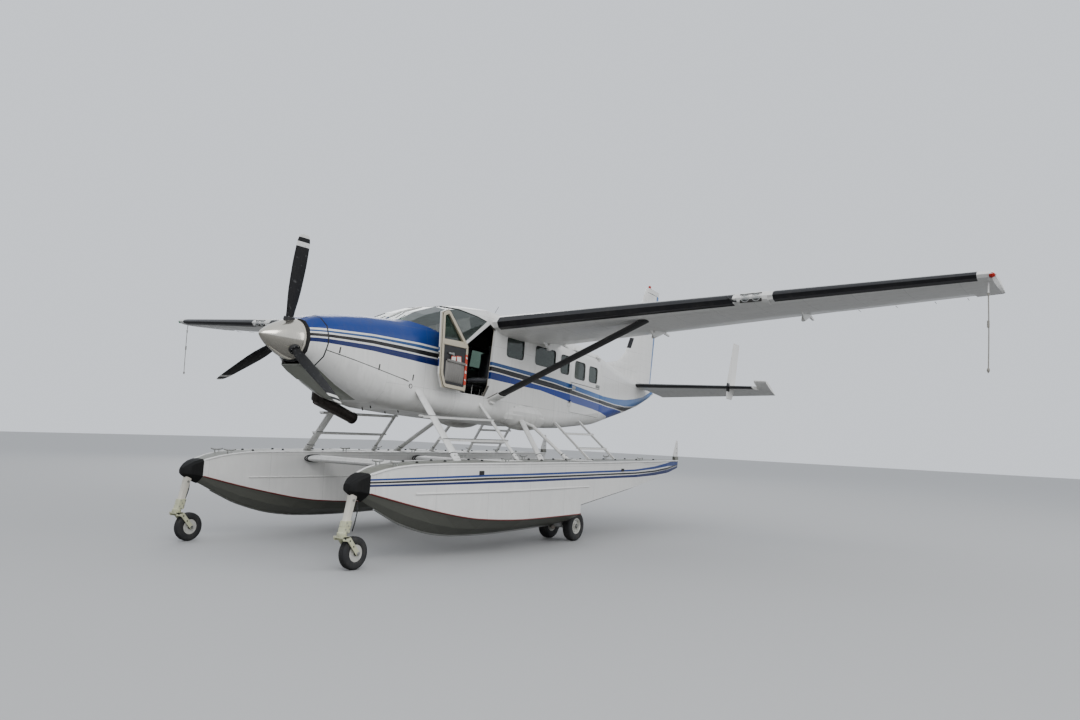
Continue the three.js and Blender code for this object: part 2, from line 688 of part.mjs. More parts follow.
// One wing half: solid, with coves for the flap and aileron, the flap brackets and the aileron's bearing.
function wing(side) {
  const coves = [flapSpan, aileronSpan].map((span) => wingCove(span, side));
  const body = cut(wingBody(side), ...coves, fuselageBody(3000, 6600, -gap));
  const brackets = flapArms.map((y) => {
    const [x, z] = flapAxis(y);
    const front = wingPoint(y, flapSpan.hinge - 0.14);
    const rear = wingPoint(y, flapSpan.hinge - 0.07);
    const outline = [[front.x, front.z - front.half + 20], [x - 70, z + 10], [x - 18, z - 18], [x + 18, z - 18],
      [x + 18, z + 18], [x - 60, z + 60], [rear.x, rear.z - rear.half + 20]];
    return join(sidePrism(outline, side * (y + 22), side * (y + 36)),
      rod([x, side * (y + 16 + pinGap), z], [x, side * (y + 28), z], hingePin, 8));
  });
  const end = wingPoint(aileronSpan.to, aileronSpan.hinge);
  const onHinge = (y) => [end.x, side * y, end.z];
  const bearing = rod(onHinge(aileronSpan.to + pinGap), onHinge(aileronSpan.to + 25), hingePin, 8);
  return join(body, ...brackets, bearing, lampPod(side), tieRing(side));
}

// The landing lamp's swelling on the leading edge.
function lampPod(side) {
  const rings = [lampSpan.from, lampSpan.from + 60, lampSpan.to - 60, lampSpan.to].map((y, i) => {
    const section = wingSection(y);
    const proud = i === 1 || i === 2 ? 24 : 4;
    return foilRing({ ...section, lead: section.lead - proud, chord: section.chord * 0.5, thick: section.thick * 1.75,
      camber: 0 }, side * y);
  });
  return loft(rings).intersect(block(3000, wingRoot.lead + 300, side * 4000, side * 6000, 0, 3000));
}

// The ring under the wing tip that the tie-down rope hangs from.
function tieRing(side) {
  const y = side * ropeY;
  return join(
    rod([ropeAt, y, ropeRise - 2], [ropeAt, y, ropeRise + tieRod.tall], tieRod.radius, 8),
    block(ropeAt - tieRod.eye, ropeAt + tieRod.eye, y - ropeRadius, y + ropeRadius, ropeRise - tieRod.drop, ropeRise),
  );
}

// A rope that hangs from the ring, a little bowed, with a knot at its end, drawn level with the ground below.
function rope(side) {
  const top = new THREE.Vector3(ropeAt, side * ropeY, ropeRise - tieRod.drop - 0.8);
  const down = new THREE.Vector3(Math.sin(parkedPitch), 0, -Math.cos(parkedPitch));
  const points = ropeBow.map(([share, bow]) => top.clone().addScaledVector(down, share * ropeLength)
    .add(new THREE.Vector3(0, side * bow, 0)));
  const path = new THREE.CatmullRomCurve3(points);
  const ring = Array.from({ length: 8 }, (_, i) => new THREE.Vector2(
    ropeRadius * Math.cos((i * Math.PI) / 4), ropeRadius * Math.sin((i * Math.PI) / 4)));
  const options = { steps: 24, extrudePath: path, bevelEnabled: false };
  const geometry = new THREE.ExtrudeGeometry(new THREE.Shape(ring), options);
  return toSolid(geometry);
}

// The wing strut, fitted to the fuselage side and to the wing's lower skin.
function wingStrut(side) {
  const foot = [strutFoot.at, side * (strutFoot.y - 60), strutFoot.rise - 25];
  const head = [strutHead.at, side * (strutHead.y + 110), strutHead.rise + 55];
  const bar = strut(foot, head, wingStrutSize.chord, wingStrutSize.thick, strutSides);
  return cut(bar, fuselageBody(3000, 5000, -gap), wingBody(side, gap));
}

// Tail

function tailLine(key, distance) {
  return key[0] + (key[1] - key[0]) * (Math.abs(distance) / stabilizer.y);
}

function tailSection(y, grow = 0) {
  const lead = tailLine(stabilizer.lead, y);
  const chord = tailLine(stabilizer.rear, y) - lead;
  return foilRing({ lead, chord, rise: stabilizer.level, thick: stabilizer.thick }, y, grow);
}

function elevatorPoint(y) {
  const lead = tailLine(stabilizer.lead, y);
  const rear = tailLine(stabilizer.rear, y);
  const half = foilHalf(stabilizer.thick, (elevatorHinge - lead) / (rear - lead)) * (rear - lead);
  return { x: elevatorHinge, z: stabilizer.level, half, rear: rear - elevatorHinge, turn: 0 };
}

// The fixed tailplane with its two small upright fins.
function tailplane() {
  const body = loft([-stabilizer.y, 0, stabilizer.y].map((y) => tailSection(y)));
  const coves = sides.map((side) => loft([-10, stabilizer.y + 60].map((y) => {
    const point = elevatorPoint(y);
    return placedOutline(coveOutline(point.half, point.rear), point, side * y);
  })));
  const tips = sides.map((side) => block(9900, 11100, side * stabilizer.tipFrom, side * 3300, 300, 760));
  const { y, lead, chord, up, down } = finlet;
  const outline = [[lead + 30, stabilizer.level - down], [lead + 290, stabilizer.level - down],
    [lead + chord, stabilizer.level], [lead + chord + 170, stabilizer.level + up],
    [lead + 300, stabilizer.level + up], [lead, stabilizer.level]];
  const finlets = sides.map((side) => sidePrism(outline, side * (y - 10), side * (y + 10)));
  return join(cut(body, ...coves, ...tips), ...finlets, elevatorBearing());
}

// The bearing in the middle of the tailplane that carries the torque tube.
function elevatorBearing() {
  const { level } = stabilizer;
  const housing = rod([elevatorHinge, -25, level], [elevatorHinge, 25, level], 36, 12);
  const arm = block(elevatorHinge - 75, elevatorHinge - 20, -25, 25, level - 14, level + 14);
  const bore = rod([elevatorHinge, -40, level], [elevatorHinge, 40, level], boreFor(torqueTube), 12);
  return cut(join(housing, arm), bore);
}

// Both elevator halves on one torque tube, with a balance horn at each tip, drawn about the hinge.
function elevator() {
  const halves = sides.map((side) => loft([elevatorRoot, stabilizer.y].map((y) => {
    const point = elevatorPoint(y);
    const slant = y === elevatorRoot ? elevatorSlant : 0;
    return placedOutline(controlOutline(point.half, point.rear), point, side * y)
      .map((p) => p.setY(p.y + side * slant * Math.max(0, (p.x - elevatorHinge) / point.rear)));
  })));
  const horns = sides.map((side) => loft([stabilizer.tipFrom + controlGap, stabilizer.y].map((y) =>
    tailSection(side * y))));
  const tube = rod([elevatorHinge, -elevatorRoot - 40, stabilizer.level],
    [elevatorHinge, elevatorRoot + 40, stabilizer.level], torqueTube);
  return moved(join(tube, ...halves, ...horns),
    new THREE.Matrix4().makeTranslation(-elevatorHinge, 0, -stabilizer.level));
}

// A line in the fin's side view: its station at a height.
function along(line, height) {
  const after = Math.max(1, line.findIndex(([, z]) => z >= height));
  const [[x0, z0], [x1, z1]] = [line[after - 1], line[after]];
  return x0 + ((x1 - x0) * (height - z0)) / (z1 - z0);
}

function finRing(height) {
  const lead = along(finLead, height);
  const chord = along(finRear, height) - lead;
  return foil(along(finThick, height) / chord).map(([x, z]) => new THREE.Vector3(lead + x * chord, z * chord, height));
}

function rudderRing(height, outlineOf) {
  const lead = along(finLead, height);
  const hinge = along(rudderHinge, height);
  const rear = along(finRear, height);
  const chord = rear - lead;
  const half = foilHalf(along(finThick, height) / chord, (hinge - lead) / chord) * chord;
  return outlineOf(half, rear - hinge).map(([x, y]) => new THREE.Vector3(hinge + x, y, height));
}

function levelCircle([x, y, z], radius) {
  const sidesOfCircle = 10;
  return Array.from({ length: sidesOfCircle }, (_, i) => {
    const turn = (i / sidesOfCircle) * 2 * Math.PI;
    return new THREE.Vector3(x + Math.cos(turn) * radius, y + Math.sin(turn) * radius, z);
  });
}

// The fin with its long root fairing, hollowed behind for the rudder's nose.
function fin() {
  const body = loft(finHeights.map(finRing));
  const coveEnds = [rudderSpan.low - controlGap, rudderSpan.high + controlGap];
  const cove = loft(coveEnds.map((z) => rudderRing(z, coveOutline)));
  const pins = [[rudderSpan.high + pinGap, rudderSpan.high + 30], [rudderSpan.low - 120, rudderSpan.low - pinGap]]
    .map((levels) => loft(levels.map((z) => levelCircle([along(rudderHinge, z), 0, z], 8))));
  const lamp = rod([beacon.at, 0, finTop - 5], [beacon.at, 0, finTop + beacon.tall], beacon.radius, 10);
  return join(cut(body, cove), ...pins, lamp);
}

function rudder() {
  return loft([rudderSpan.low, rudderSpan.high].map((z) => rudderRing(z, controlOutline)));
}

// Nose, engine and propeller

function box4(at, half, low, high) {
  return [[-half, low], [half, low], [half, high], [-half, high]].map(([y, z]) => new THREE.Vector3(at, y, z));
}

function chinScoop(inset) {
  return loft(chinSections.map((s) => box4(s.at, s.half - inset, s.low + inset, s.high - inset)));
}

// The engine cowling: a thin shell, open behind, round the shaft and at the chin.
function cowl() {
  const skinLine = fuselageBody(cowlFront, firewall - gap);
  const inside = fuselageBody(cowlFront + 18, firewall - 1, cowlSkin);
  const rear = loft([firewall - 5, firewall + 40].map((at) => fuselageRing(fuselageSection(at), cowlSkin)));
  const collar = rod([spinnerBack + 16, 0, 0], [cowlFront + 10, 0, 0], collarRadius, 20);
  const mouth = rod([cowlFront - 60, 0, 0], [cowlFront + 60, 0, 0], collarRadius - 22, 20);
  const scoopMouth = chinScoop(10);
  return cut(join(skinLine, collar, chinScoop(0)), inside, rear, mouth, scoopMouth, exhaustPipe(12));
}

// The exhaust from the engine out through the cowl's lower starboard side, then back under the belly.
function exhaustPipe(grow) {
  return join(rod(exhaust.from, exhaust.skin, exhaust.radius + grow, 12),
    rod(exhaust.skin, exhaust.end, exhaust.radius + grow, 12));
}

// The engine as one block on the firewall, with its shaft and exhaust stub.
function engine() {
  return join(
    rod([hubBack + gap, 0, 0], [900, 0, 0], 55, 12),
    rod([640, 0, 0], [860, 0, 0], 165, 16),
    rod([840, 0, -10], [firewall - gap, 0, -10], 245, 16),
    cut(exhaustPipe(0), fuselageBody(firewall - 5, 3000, -6)),
  );
}

// A blade standing up from the hub: a root stub and flat sections that widen, twist and narrow.
function blade() {
  const rings = bladeSections.map(({ out, chord, thick, pitch }) => Array.from({ length: 10 }, (_, i) => {
    const turn = (i / 10) * 2 * Math.PI;
    const [a, b] = [(Math.cos(turn) * chord) / 2, (Math.sin(turn) * thick) / 2];
    const lean = radians(pitch);
    return new THREE.Vector3(b * Math.cos(lean) + a * Math.sin(lean), b * Math.sin(lean) - a * Math.cos(lean), out);
  }));
  return loft(rings);
}

const bladeTurns = [0, 1, 2].map((i) =>
  new THREE.Matrix4().makeRotationX(firstBlade + (i * 2 * Math.PI) / 3).setPosition(bladeAt, 0, 0));

function propeller() {
  const hub = rod([hubFront, 0, 0], [hubBack, 0, 0], hubRadius, 16);
  return join(hub, ...bladeTurns.map((turn) => moved(blade(), turn)));
}

// The spinner shell, open at the blade roots, on a back plate that sits on the hub.
function spinner() {
  const profile = (inset) => spinnerProfile.map(([x, r]) =>
    [Math.max(r - inset, 0), Math.min(x + inset * 1.4, spinnerBack - inset * 1.4)]);
  const close = (points, back) => [...points, [points.at(-1)[0], back], [0, back]];
  const outer = toSolid(turned(close(profile(0), spinnerBack), 16).rotateZ(-Math.PI / 2));
  const inner = toSolid(turned(close(profile(6), spinnerBack - 8.4), 16).rotateZ(-Math.PI / 2));
  const hub = rod([hubFront - 10, 0, 0], [hubBack + 10, 0, 0], hubRadius + gap, 16);
  const roots = bladeTurns.map((turn) => moved(rod([0, 0, 60], [0, 0, 400], 60, 12), turn));
  return cut(outer, inner, hub, ...roots);
}

// Floats

function floatBody(side, grow = 0) {
  return loft(floatSections.map((s, i) => {
    const ends = { 0: -grow, [floatSections.length - 1]: grow };
    const at = s.at + (ends[i] ?? 0);
    const [deck, chine] = [s.deck + grow, s.chine + grow];
    const half = [
      [0, s.keel - grow], [chine * 0.55, s.keel + (s.edge - s.keel) * 0.42 - grow], [chine, s.edge - grow],
      [deck, s.side], [deck - deckEdge.width, s.side + deckEdge.rise + grow], [deck * 0.4, s.crown + grow],
    ];
    const mirrored = half.slice(1).reverse().map(([y, z]) => [-y, z]);
    return [...half, ...mirrored].map(([y, z]) => new THREE.Vector3(at, side * floatY + y, z));
  }));
}

// Half the width of a float at a station.
function floatHalf(at) {
  const after = Math.max(1, floatSections.findIndex((s) => s.at >= at));
  const [a, b] = [floatSections[after - 1], floatSections[after]];
  return a.deck + ((b.deck - a.deck) * (at - a.at)) / (b.at - a.at);
}

// A decked float with a spray rail along each side, and a lug for its water rudder.
function float(side) {
  const rails = sides.flatMap((edge) => railStations.slice(1).map((to, i) => {
    const ends = [railStations[i], to].map((at) => [at, side * floatY + edge * floatHalf(at), railRise]);
    return beam(...ends, 18, 30);
  }));
  const { ahead, behind, low, near, far } = rudderCheek;
  const onPin = (across) => [rudderPost.at, side * floatY + across, rudderPost.rise];
  const cheeks = sides.map((edge) => block(rudderPost.at - ahead, rudderPost.at + behind,
    side * floatY + edge * far, side * floatY + edge * near, rudderPost.rise - low, rudderPost.rise + behind));
  const lug = join(...cheeks, rod(onPin(-near - 10), onPin(near + 10), pinRadius, 12));
  return join(floatBody(side), ...rails, lug);
}

// The blade of a water rudder, raised above the stern on its pin.
function waterRudder(side) {
  const { at, rise } = rudderPost;
  const outline = [[at - 24, rise - 24], [at + 24, rise - 24], [at + 60, rise + 50], [at + 40, rise + 330],
    [at - 10, rise + 350], [at - 150, rise + 60], [at - 130, rise + 40]];
  const y = side * floatY;
  return cut(sidePrism(outline, y - 7, y + 7), rod([at, y - 30, rise], [at, y + 30, rise], boreFor(pinRadius), 12));
}

// A bore's corner radius that leaves a running gap round a twelve-sided pin.
function boreFor(radius) {
  return (radius + bearingPlay) / Math.cos(Math.PI / 12);
}

// Gear

function tyre(wheel, at, y) {
  const half = wheel.width / 2;
  const shoulder = wheel.radius - wheel.width * 0.13;
  const profile = [[wheel.rim, -half * 0.72], [wheel.rim + 14, -half * 0.94], [wheel.radius - wheel.width * 0.36, -half],
    [shoulder, -half * 0.84], [wheel.radius, -half * 0.42], [wheel.radius, half * 0.42], [shoulder, half * 0.84],
    [wheel.radius - wheel.width * 0.36, half], [wheel.rim + 14, half * 0.94], [wheel.rim, half * 0.72]];
  return toSolid(turned([...profile, profile[0]], tyreSides).translate(at, y, wheel.radius));
}

// A dished rim about its own middle, with or without a bore for the axle.
function rim(wheel, at, y, bore) {
  const half = wheel.width / 2;
  const barrel = wheel.rim - gap;
  const profile = [[bore, -half * 0.8], [40, -half * 0.8], [46, -half * 0.42], [barrel - 20, -half * 0.38],
    [barrel - 14, -half * 0.72], [barrel, -half * 0.72], [barrel, half * 0.72], [barrel - 14, half * 0.72],
    [barrel - 20, half * 0.38], [46, half * 0.42], [40, half * 0.8], [bore, half * 0.8], [bore, -half * 0.8]];
  return toSolid(turned(profile, tyreSides).translate(at, y, wheel.radius));
}

// Both rims of a main gear with the axle that turns in the leg.
function mainRims(side) {
  const { at, radius, offset, width } = mainWheel;
  const rims = sides.map((edge) => rim(mainWheel, at, side * floatY + edge * offset, 0));
  const end = offset + width * 0.4;
  return join(rod([at, side * floatY - end, radius], [at, side * floatY + end, radius], axleRadius, 12), ...rims);
}

// The slanted nose leg, let into the bow, with the caster's socket at its foot.
function noseLeg(side) {
  const y = side * floatY;
  const leg = beam([250, y, 930], [128, y, 430], 130, 95);
  const socket = block(casterAt - 62, casterAt + 92, y - 62, y + 62, 405, 450);
  return cut(join(leg, socket), floatBody(side, gap));
}

// The caster: a head under the socket, two arms that trail aft and the axle between them.
function noseFork(side) {
  const y = side * floatY;
  const arms = sides.map((edge) => {
    const out = y + edge * 76;
    return join(
      sidePrism([[casterAt - 45, 330], [casterAt + 40, 404.7], [noseWheel.at + 30, noseWheel.radius + 18],
        [noseWheel.at + 26, noseWheel.radius - 26], [noseWheel.at - 26, noseWheel.radius - 24], [casterAt - 20, 300]]
        .map(([x, z]) => [x, Math.min(z, 404)]), out - 7, out + 7),
    );
  });
  const head = block(casterAt - 45, casterAt + 40, y - 83, y + 83, 398, 405 - gap);
  const onAxle = (across) => [noseWheel.at, y + across, noseWheel.radius];
  const axle = rod(onAxle(-80), onAxle(80), axleRadius, 12);
  return join(head, ...arms, axle);
}

// The main leg under the float, behind the step, bored for the axle of its twin wheels.
function mainLeg(side) {
  const y = side * floatY;
  const { at, radius } = mainWheel;
  const post = beam([at - 60, y, 560], [at, y, radius - 20], 130, 90);
  const boss = rod([at, y - 110, radius], [at, y + 110, radius], 48, 12);
  const bore = rod([at, y - 200, radius], [at, y + 200, radius], boreFor(axleRadius), 12);
  return cut(join(post, boss), floatBody(side, gap), bore);
}

// Float struts, drawn on the level floats and fitted to the pitched fuselage

function frontStruts(side) {
  const front = strut([2267, side * 640, 2340], [2253, side * 1600, 1180], 150, 48);
  const middle = strut([3620, side * 650, 2280], [3708, side * 1600, 1180], 70, 40);
  const steps = stepRails.map(({ from, to, y, z }) =>
    block(from, to, side * (y - 45), side * (y + 45), z - 12, z + 12));
  return join(front, middle, ...steps);
}

function rearStruts(side) {
  const leg = strut([4800, side * 665, 2075], [4250, side * 1650, 1180], 130, 56);
  const brace = strut([4945, side * 680, 1975], [5205, side * 1590, 1190], 62, 52);
  const fitting = rod([4660, side * 895, 1868], [5020, side * 895, 1788], 26, 8);
  return join(leg, brace, fitting);
}

function ladder(side) {
  const rails = ladderRails.map(([top, foot]) => beam([top, side * 640, 2030], [foot, side * 1420, 1200], 38, 34));
  const treads = ladderTreads.map(({ from, to, y, z }) =>
    block(from, to, side * (y - 40), side * (y + 40), z - 14, z + 14));
  return join(...rails, ...treads);
}

function fittedToFloats(solid, side, fuselageBelly) {
  return cut(solid, fuselageBelly, floatBody(side, gap));
}

// Cabin furniture: one floor board with the seats, the panel and the pedestal on it.
function seat(back, y, width) {
  const half = width / 2;
  const seatLevel = floorLevel + 370;
  const { foot, lean, tall, top } = seatBack;
  return join(
    block(back - 470, back - 20, y - half, y + half, seatLevel - 90, seatLevel),
    sidePrism([[back - foot, seatLevel - 60], [back + foot - 80, seatLevel - 60], [back + lean, seatLevel + tall],
      [back + top, seatLevel + tall]], y - half, y + half),
    block(back - 400, back - 340, y - half + 30, y + half - 30, floorLevel + 10, seatLevel - 80),
    block(back - 110, back - 50, y - half + 30, y + half - 30, floorLevel + 10, seatLevel - 80),
  );
}

function furniture() {
  const board = block(2420, 7300, -560, 560, floorLevel + gap, floorLevel + 14);
  const seats = seatRows.flatMap(({ back, y, width }) => sides.map((side) => seat(back, side * y, width)));
  const panel = block(2600, 2640, -600, 600, -60, 395);
  const shield = sidePrism([[2440, 400], [2700, 380], [2700, 410], [2440, 440]], -560, 560);
  const stem = block(2440, 2640, -120, 120, floorLevel + 10, 400);
  const pedestal = sidePrism([[2630, floorLevel + 10], [3010, floorLevel + 10], [3010, -170], [2860, -30], [2630, 60]], -95, 95);
  const yokes = sides.map((side) => join(
    rod([2630, side * 360, 60], [2860, side * 360, 60], 14, 8),
    block(2850, 2880, side * 360 - 150, side * 360 + 150, 45, 75),
    block(2850, 2880, side * 360 - 150, side * 360 - 125, 45, 140),
    block(2850, 2880, side * 360 + 125, side * 360 + 150, 45, 140),
  ));
  return join(board, ...seats, panel, shield, stem, pedestal, ...yokes);
}

// The cabin and tail in one skin: hollow cabin with every opening cut, solid tail, fin, fairings and hinges.
function fuselage() {
  const body = fuselageBody(firewall, 11210);
  const room = fuselageBody(firewall + 60, rearBulkhead, skin).intersect(block(0, 9000, -900, 900, floorLevel, 1200));
  const post = block(1900, 3400, -22, 22, 300, 1200).intersect(wallLayer(0, 11.5));
  const windshieldHole = sidePrism(windshieldOutline, -reach, reach);
  const doorHoles = [
    ...sides.map((side) => outlinePrism(crewDoorOutline, side)),
    doorHole(cargoDoor, -1), doorHole(entryDoor, 1),
  ];
  const windowHoles = [
    ...sides.flatMap((side) => sideWindows.map((name) => windowPrism(cabinWindows[name], side))),
  ];
  const tailPocket = loft([-stabilizer.y, 0, stabilizer.y].map((y) => tailSection(y, gap)));
  const tubeBore = rod([elevatorHinge, -600, stabilizer.level], [elevatorHinge, 600, stabilizer.level],
    boreFor(torqueTube), 12);
  const shell = join(cut(body, room, windshieldHole, ...doorHoles, ...windowHoles), post);
  const outside = (side) => block(4000, 6000, side * 500, side * 1100, -1000, -300);
  const blisters = sides.map((side) => blister(side).intersect(outside(side)));
  const cuffs = sides.map((side) => strutCuff(side));
  const lugs = [...sides.flatMap((side) => crewLugs(side)), ...rearDoorLugs()];
  return cut(join(shell, fin(), ...blisters, ...cuffs, ...lugs), tailPocket, tubeBore);
}

// The teardrop fairing low on each side behind the strut.
function blister(side, grow = 0) {
  const { at, y, rise, long, wide, tall } = blisterSize;
  return toSolid(new THREE.SphereGeometry(1, 16, 10).rotateX(Math.PI / 2).scale(long + grow, wide + grow, tall + grow)
    .translate(at, side * y, rise));
}

// Finishes

const finish = (color, roughness, metalness = 0) => new THREE.MeshStandardMaterial({ color, roughness, metalness });
const whitePaint = finish(0xe9e8e2, 0.35);
const controlPaint = finish(0xdedfdc, 0.4);
const floatPaint = finish(0xe4e4df, 0.4);
const stripedPaint = finish(0x2448a8, 0.35);
const glass = finish(0x3d4f47, 0.08);
const polished = finish(0xcfc8b8, 0.22, 0.9);
const bladeBlack = finish(0x1c1c1e, 0.5);
const engineMetal = finish(0x55534f, 0.5, 0.7);
const strutPaint = finish(0xd6d6d0, 0.4);
const boot = finish(0x1a1a1a, 0.7);
const chromate = finish(0xc9cc8a, 0.55);
const rubber = finish(0x17171a, 0.85);
const wheelPaint = finish(0xd2cfc4, 0.45, 0.2);
const upholstery = finish(0x5b5e64, 0.8);
const ropeFibre = finish(0x4d4a44, 0.9);

// Assembly

const airframe = new THREE.Group();
airframe.position.z = spinnerHeight;
airframe.rotation.y = parkedPitch;
const ground = new THREE.Group();
const airframeMatrix = new THREE.Matrix4().makeRotationY(parkedPitch).setPosition(0, 0, spinnerHeight);

function add(parent, name, solid, material) {
  const mesh = new THREE.Mesh(geometryOf(solid), material);
  mesh.name = name;
  parent.add(mesh);
  return mesh;
}

// Adds a solid that turns about a hinge and stands turned away from where it was drawn.
function addTurned(parent, name, solid, material, hinge, turn) {
  const group = new THREE.Group();
  group.position.set(...hinge);
  group.rotation.set(...turn);
  parent.add(group);
  const local = moved(solid, new THREE.Matrix4().makeTranslation(...hinge.map((v) => -v)));
  add(group, name, local, material);
}

add(airframe, 'fuselage', fuselage(), whitePaint);
add(airframe, 'cabin_interior', furniture(), upholstery);
add(airframe, 'nose_cowl', cowl(), stripedPaint);
add(airframe, 'engine', engine(), engineMetal);
add(airframe, 'propeller', propeller(), bladeBlack);
add(airframe, 'spinner', spinner(), polished);
add(airframe, 'windshield', windshield(), glass);
add(airframe, 'stabilizer', tailplane(), whitePaint);
add(airframe, 'rudder', rudder(), controlPaint);
const elevatorMesh = add(airframe, 'elevator', elevator(), controlPaint);
elevatorMesh.position.set(elevatorHinge, 0, stabilizer.level);
elevatorMesh.rotation.y = elevatorDroop;

const belly = moved(fuselageBody(1800, 7600, -gap), airframeMatrix);
const blisterSpace = (side) => moved(blister(side, 0.9), airframeMatrix);

for (const [side, hand] of [[-1, 'port'], [1, 'starboard']]) {
  add(airframe, `wing_${hand}`, wing(side), whitePaint);
  add(airframe, `flap_${hand}`, flap(side), controlPaint);
  add(airframe, `aileron_${hand}`, wingControl(aileronSpan, side), controlPaint);
  add(airframe, `wing_strut_${hand}`, cut(wingStrut(side), strutCuff(side, gap)), boot);
  add(airframe, `cabin_windows_${hand}`, glazing(sideWindows.map((name) => cabinWindows[name]), side), glass);
  const hinge = [crewHinge.at, side * crewHinge.out, 0];
  const open = side < 0 ? [0, 0, -crewDoorRest] : [0, 0, 0];
  addTurned(airframe, `crew_door_${hand}`, crewDoor(side), whitePaint, hinge, open);
  addTurned(airframe, `crew_door_glass_${hand}`, crewPane(side), glass, hinge, open);

  add(ground, `float_${hand}`, float(side), floatPaint);
  add(ground, `water_rudder_${hand}`, waterRudder(side), strutPaint);
  add(ground, `nose_leg_${hand}`, noseLeg(side), wheelPaint);
  add(ground, `nose_fork_${hand}`, noseFork(side), chromate);
  add(ground, `nose_rim_${hand}`, rim(noseWheel, noseWheel.at, side * floatY, boreFor(axleRadius)), wheelPaint);
  add(ground, `nose_tyre_${hand}`, tyre(noseWheel, noseWheel.at, side * floatY), rubber);
  add(ground, `main_leg_${hand}`, mainLeg(side), strutPaint);
  add(ground, `main_rims_${hand}`, mainRims(side), wheelPaint);
  for (const [edge, place] of [[-1, 'inner'], [1, 'outer']]) {
    const y = side * (floatY + edge * mainWheel.offset);
    add(ground, `main_tyre_${hand}_${place}`, tyre(mainWheel, mainWheel.at, y), rubber);
  }
  add(ground, `float_strut_front_${hand}`, fittedToFloats(frontStruts(side), side, belly), strutPaint);
  const rear = cut(fittedToFloats(rearStruts(side), side, belly), blisterSpace(side));
  add(ground, `float_strut_rear_${hand}`, rear, strutPaint);
  add(airframe, `rope_${hand}`, rope(side), ropeFibre);
  add(ground, `ladder_${hand}`, fittedToFloats(ladder(side), side, belly), strutPaint);
}

const cargoWindows = [cabinWindows.cargoFront, cabinWindows.cargoRear];
add(airframe, 'cargo_door_upper', upperDoor(cargoDoor, -1, cargoWindows), whitePaint);
add(airframe, 'cargo_door_glass', glazing(cargoWindows, -1), glass);
add(airframe, 'cargo_door_lower', lowerCargoDoor(), whitePaint);
add(airframe, 'entry_door_upper', upperDoor(entryDoor, 1, [cabinWindows.entry]), whitePaint);
add(airframe, 'entry_door_glass', glassLayer.intersect(windowPrism(cabinWindows.entry, 1, -gap)), glass);
add(airframe, 'entry_door_lower', lowerEntryDoor(), whitePaint);

const spreaderEnd = floatY - spreaderInset;
const betweenFloats = ({ at, chord, thick }) => cut(
  strut([at, -spreaderEnd, spreaderRise], [at, spreaderEnd, spreaderRise], chord, thick, strutSides),
  floatBody(-1, gap), floatBody(1, gap));
add(ground, 'spreader_front', betweenFloats(spreaderFront), strutPaint);
add(ground, 'spreader_rear', betweenFloats(spreaderRear), strutPaint);

const aircraft = new THREE.Group();
aircraft.add(airframe, ground);
aircraft.position.x = -overallLength / 2;

export default aircraft;
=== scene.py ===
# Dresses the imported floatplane: paint, rubber, glass, seats and fittings round the fixed CAD frame.
import json
from math import atan2, copysign, cos, exp, pi, radians, sin, sqrt, tau

import bmesh
import bpy
from mathutils import Matrix, Vector
from mathutils.bvhtree import BVHTree

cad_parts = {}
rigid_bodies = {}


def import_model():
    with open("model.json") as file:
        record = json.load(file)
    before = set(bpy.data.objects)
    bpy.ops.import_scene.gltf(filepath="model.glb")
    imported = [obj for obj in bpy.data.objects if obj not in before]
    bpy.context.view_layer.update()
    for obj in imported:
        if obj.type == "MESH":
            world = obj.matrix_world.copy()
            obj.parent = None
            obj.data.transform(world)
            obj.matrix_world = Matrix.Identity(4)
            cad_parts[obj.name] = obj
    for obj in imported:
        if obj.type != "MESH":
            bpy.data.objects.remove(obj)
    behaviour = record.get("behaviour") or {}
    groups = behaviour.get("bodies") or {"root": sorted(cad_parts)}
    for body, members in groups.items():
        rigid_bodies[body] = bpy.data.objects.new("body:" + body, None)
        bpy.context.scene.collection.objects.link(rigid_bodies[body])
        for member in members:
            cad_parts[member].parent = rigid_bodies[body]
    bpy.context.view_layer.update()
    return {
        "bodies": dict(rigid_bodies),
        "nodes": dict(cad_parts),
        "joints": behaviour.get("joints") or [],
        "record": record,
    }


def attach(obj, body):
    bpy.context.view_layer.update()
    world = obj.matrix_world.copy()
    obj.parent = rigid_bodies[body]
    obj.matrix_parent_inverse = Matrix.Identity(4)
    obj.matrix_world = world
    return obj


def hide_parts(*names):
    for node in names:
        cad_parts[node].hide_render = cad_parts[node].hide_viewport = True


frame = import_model()

# the airframe stands nose up on its wheels; its own lengths run aft from the spinner tip
attitude = {"pitch": radians(3), "tip": Vector((-5.71315, 0, 2.82)), "halfLength": 5.71315}
hands = {"port": -1, "starboard": 1}
sideward, upward = Vector((0, 1, 0)), Vector((0, 0, 1))


def air(along, across, rise):
    c, s = cos(attitude["pitch"]), sin(attitude["pitch"])
    return attitude["tip"] + Vector((along * c + rise * s, across, rise * c - along * s))


def ground(along, across, rise):
    return Vector((along - attitude["halfLength"], across, rise))


aft, above = air(1, 0, 0) - air(0, 0, 0), air(0, 0, 1) - air(0, 0, 0)  # along the shaft, and square to it

print("camera")
camera = {
    "place": Vector((-12.807, -9.126, 1.715)),
    "forward": Vector((0.82659, 0.55673, 0.08242)),
    "roll": radians(2.482),
    "lens": 28.78,
    "sensor": 36,
}


def addCamera():
    data = bpy.data.cameras.new("camera")
    data.lens = camera["lens"]
    data.sensor_fit = "HORIZONTAL"
    data.sensor_width = camera["sensor"]
    data.clip_end = 200
    seen = bpy.data.objects.new("camera", data)
    forward = camera["forward"].normalized()
    level = forward.cross(upward).normalized()
    above = level.cross(forward)
    c, s = cos(camera["roll"]), sin(camera["roll"])
    right, up = level * c + above * s, above * c - level * s
    turn = Matrix((right, up, -forward)).transposed()
    seen.matrix_world = Matrix.Translation(camera["place"]) @ turn.to_4x4()
    bpy.context.scene.collection.objects.link(seen)
    bpy.context.scene.camera = seen


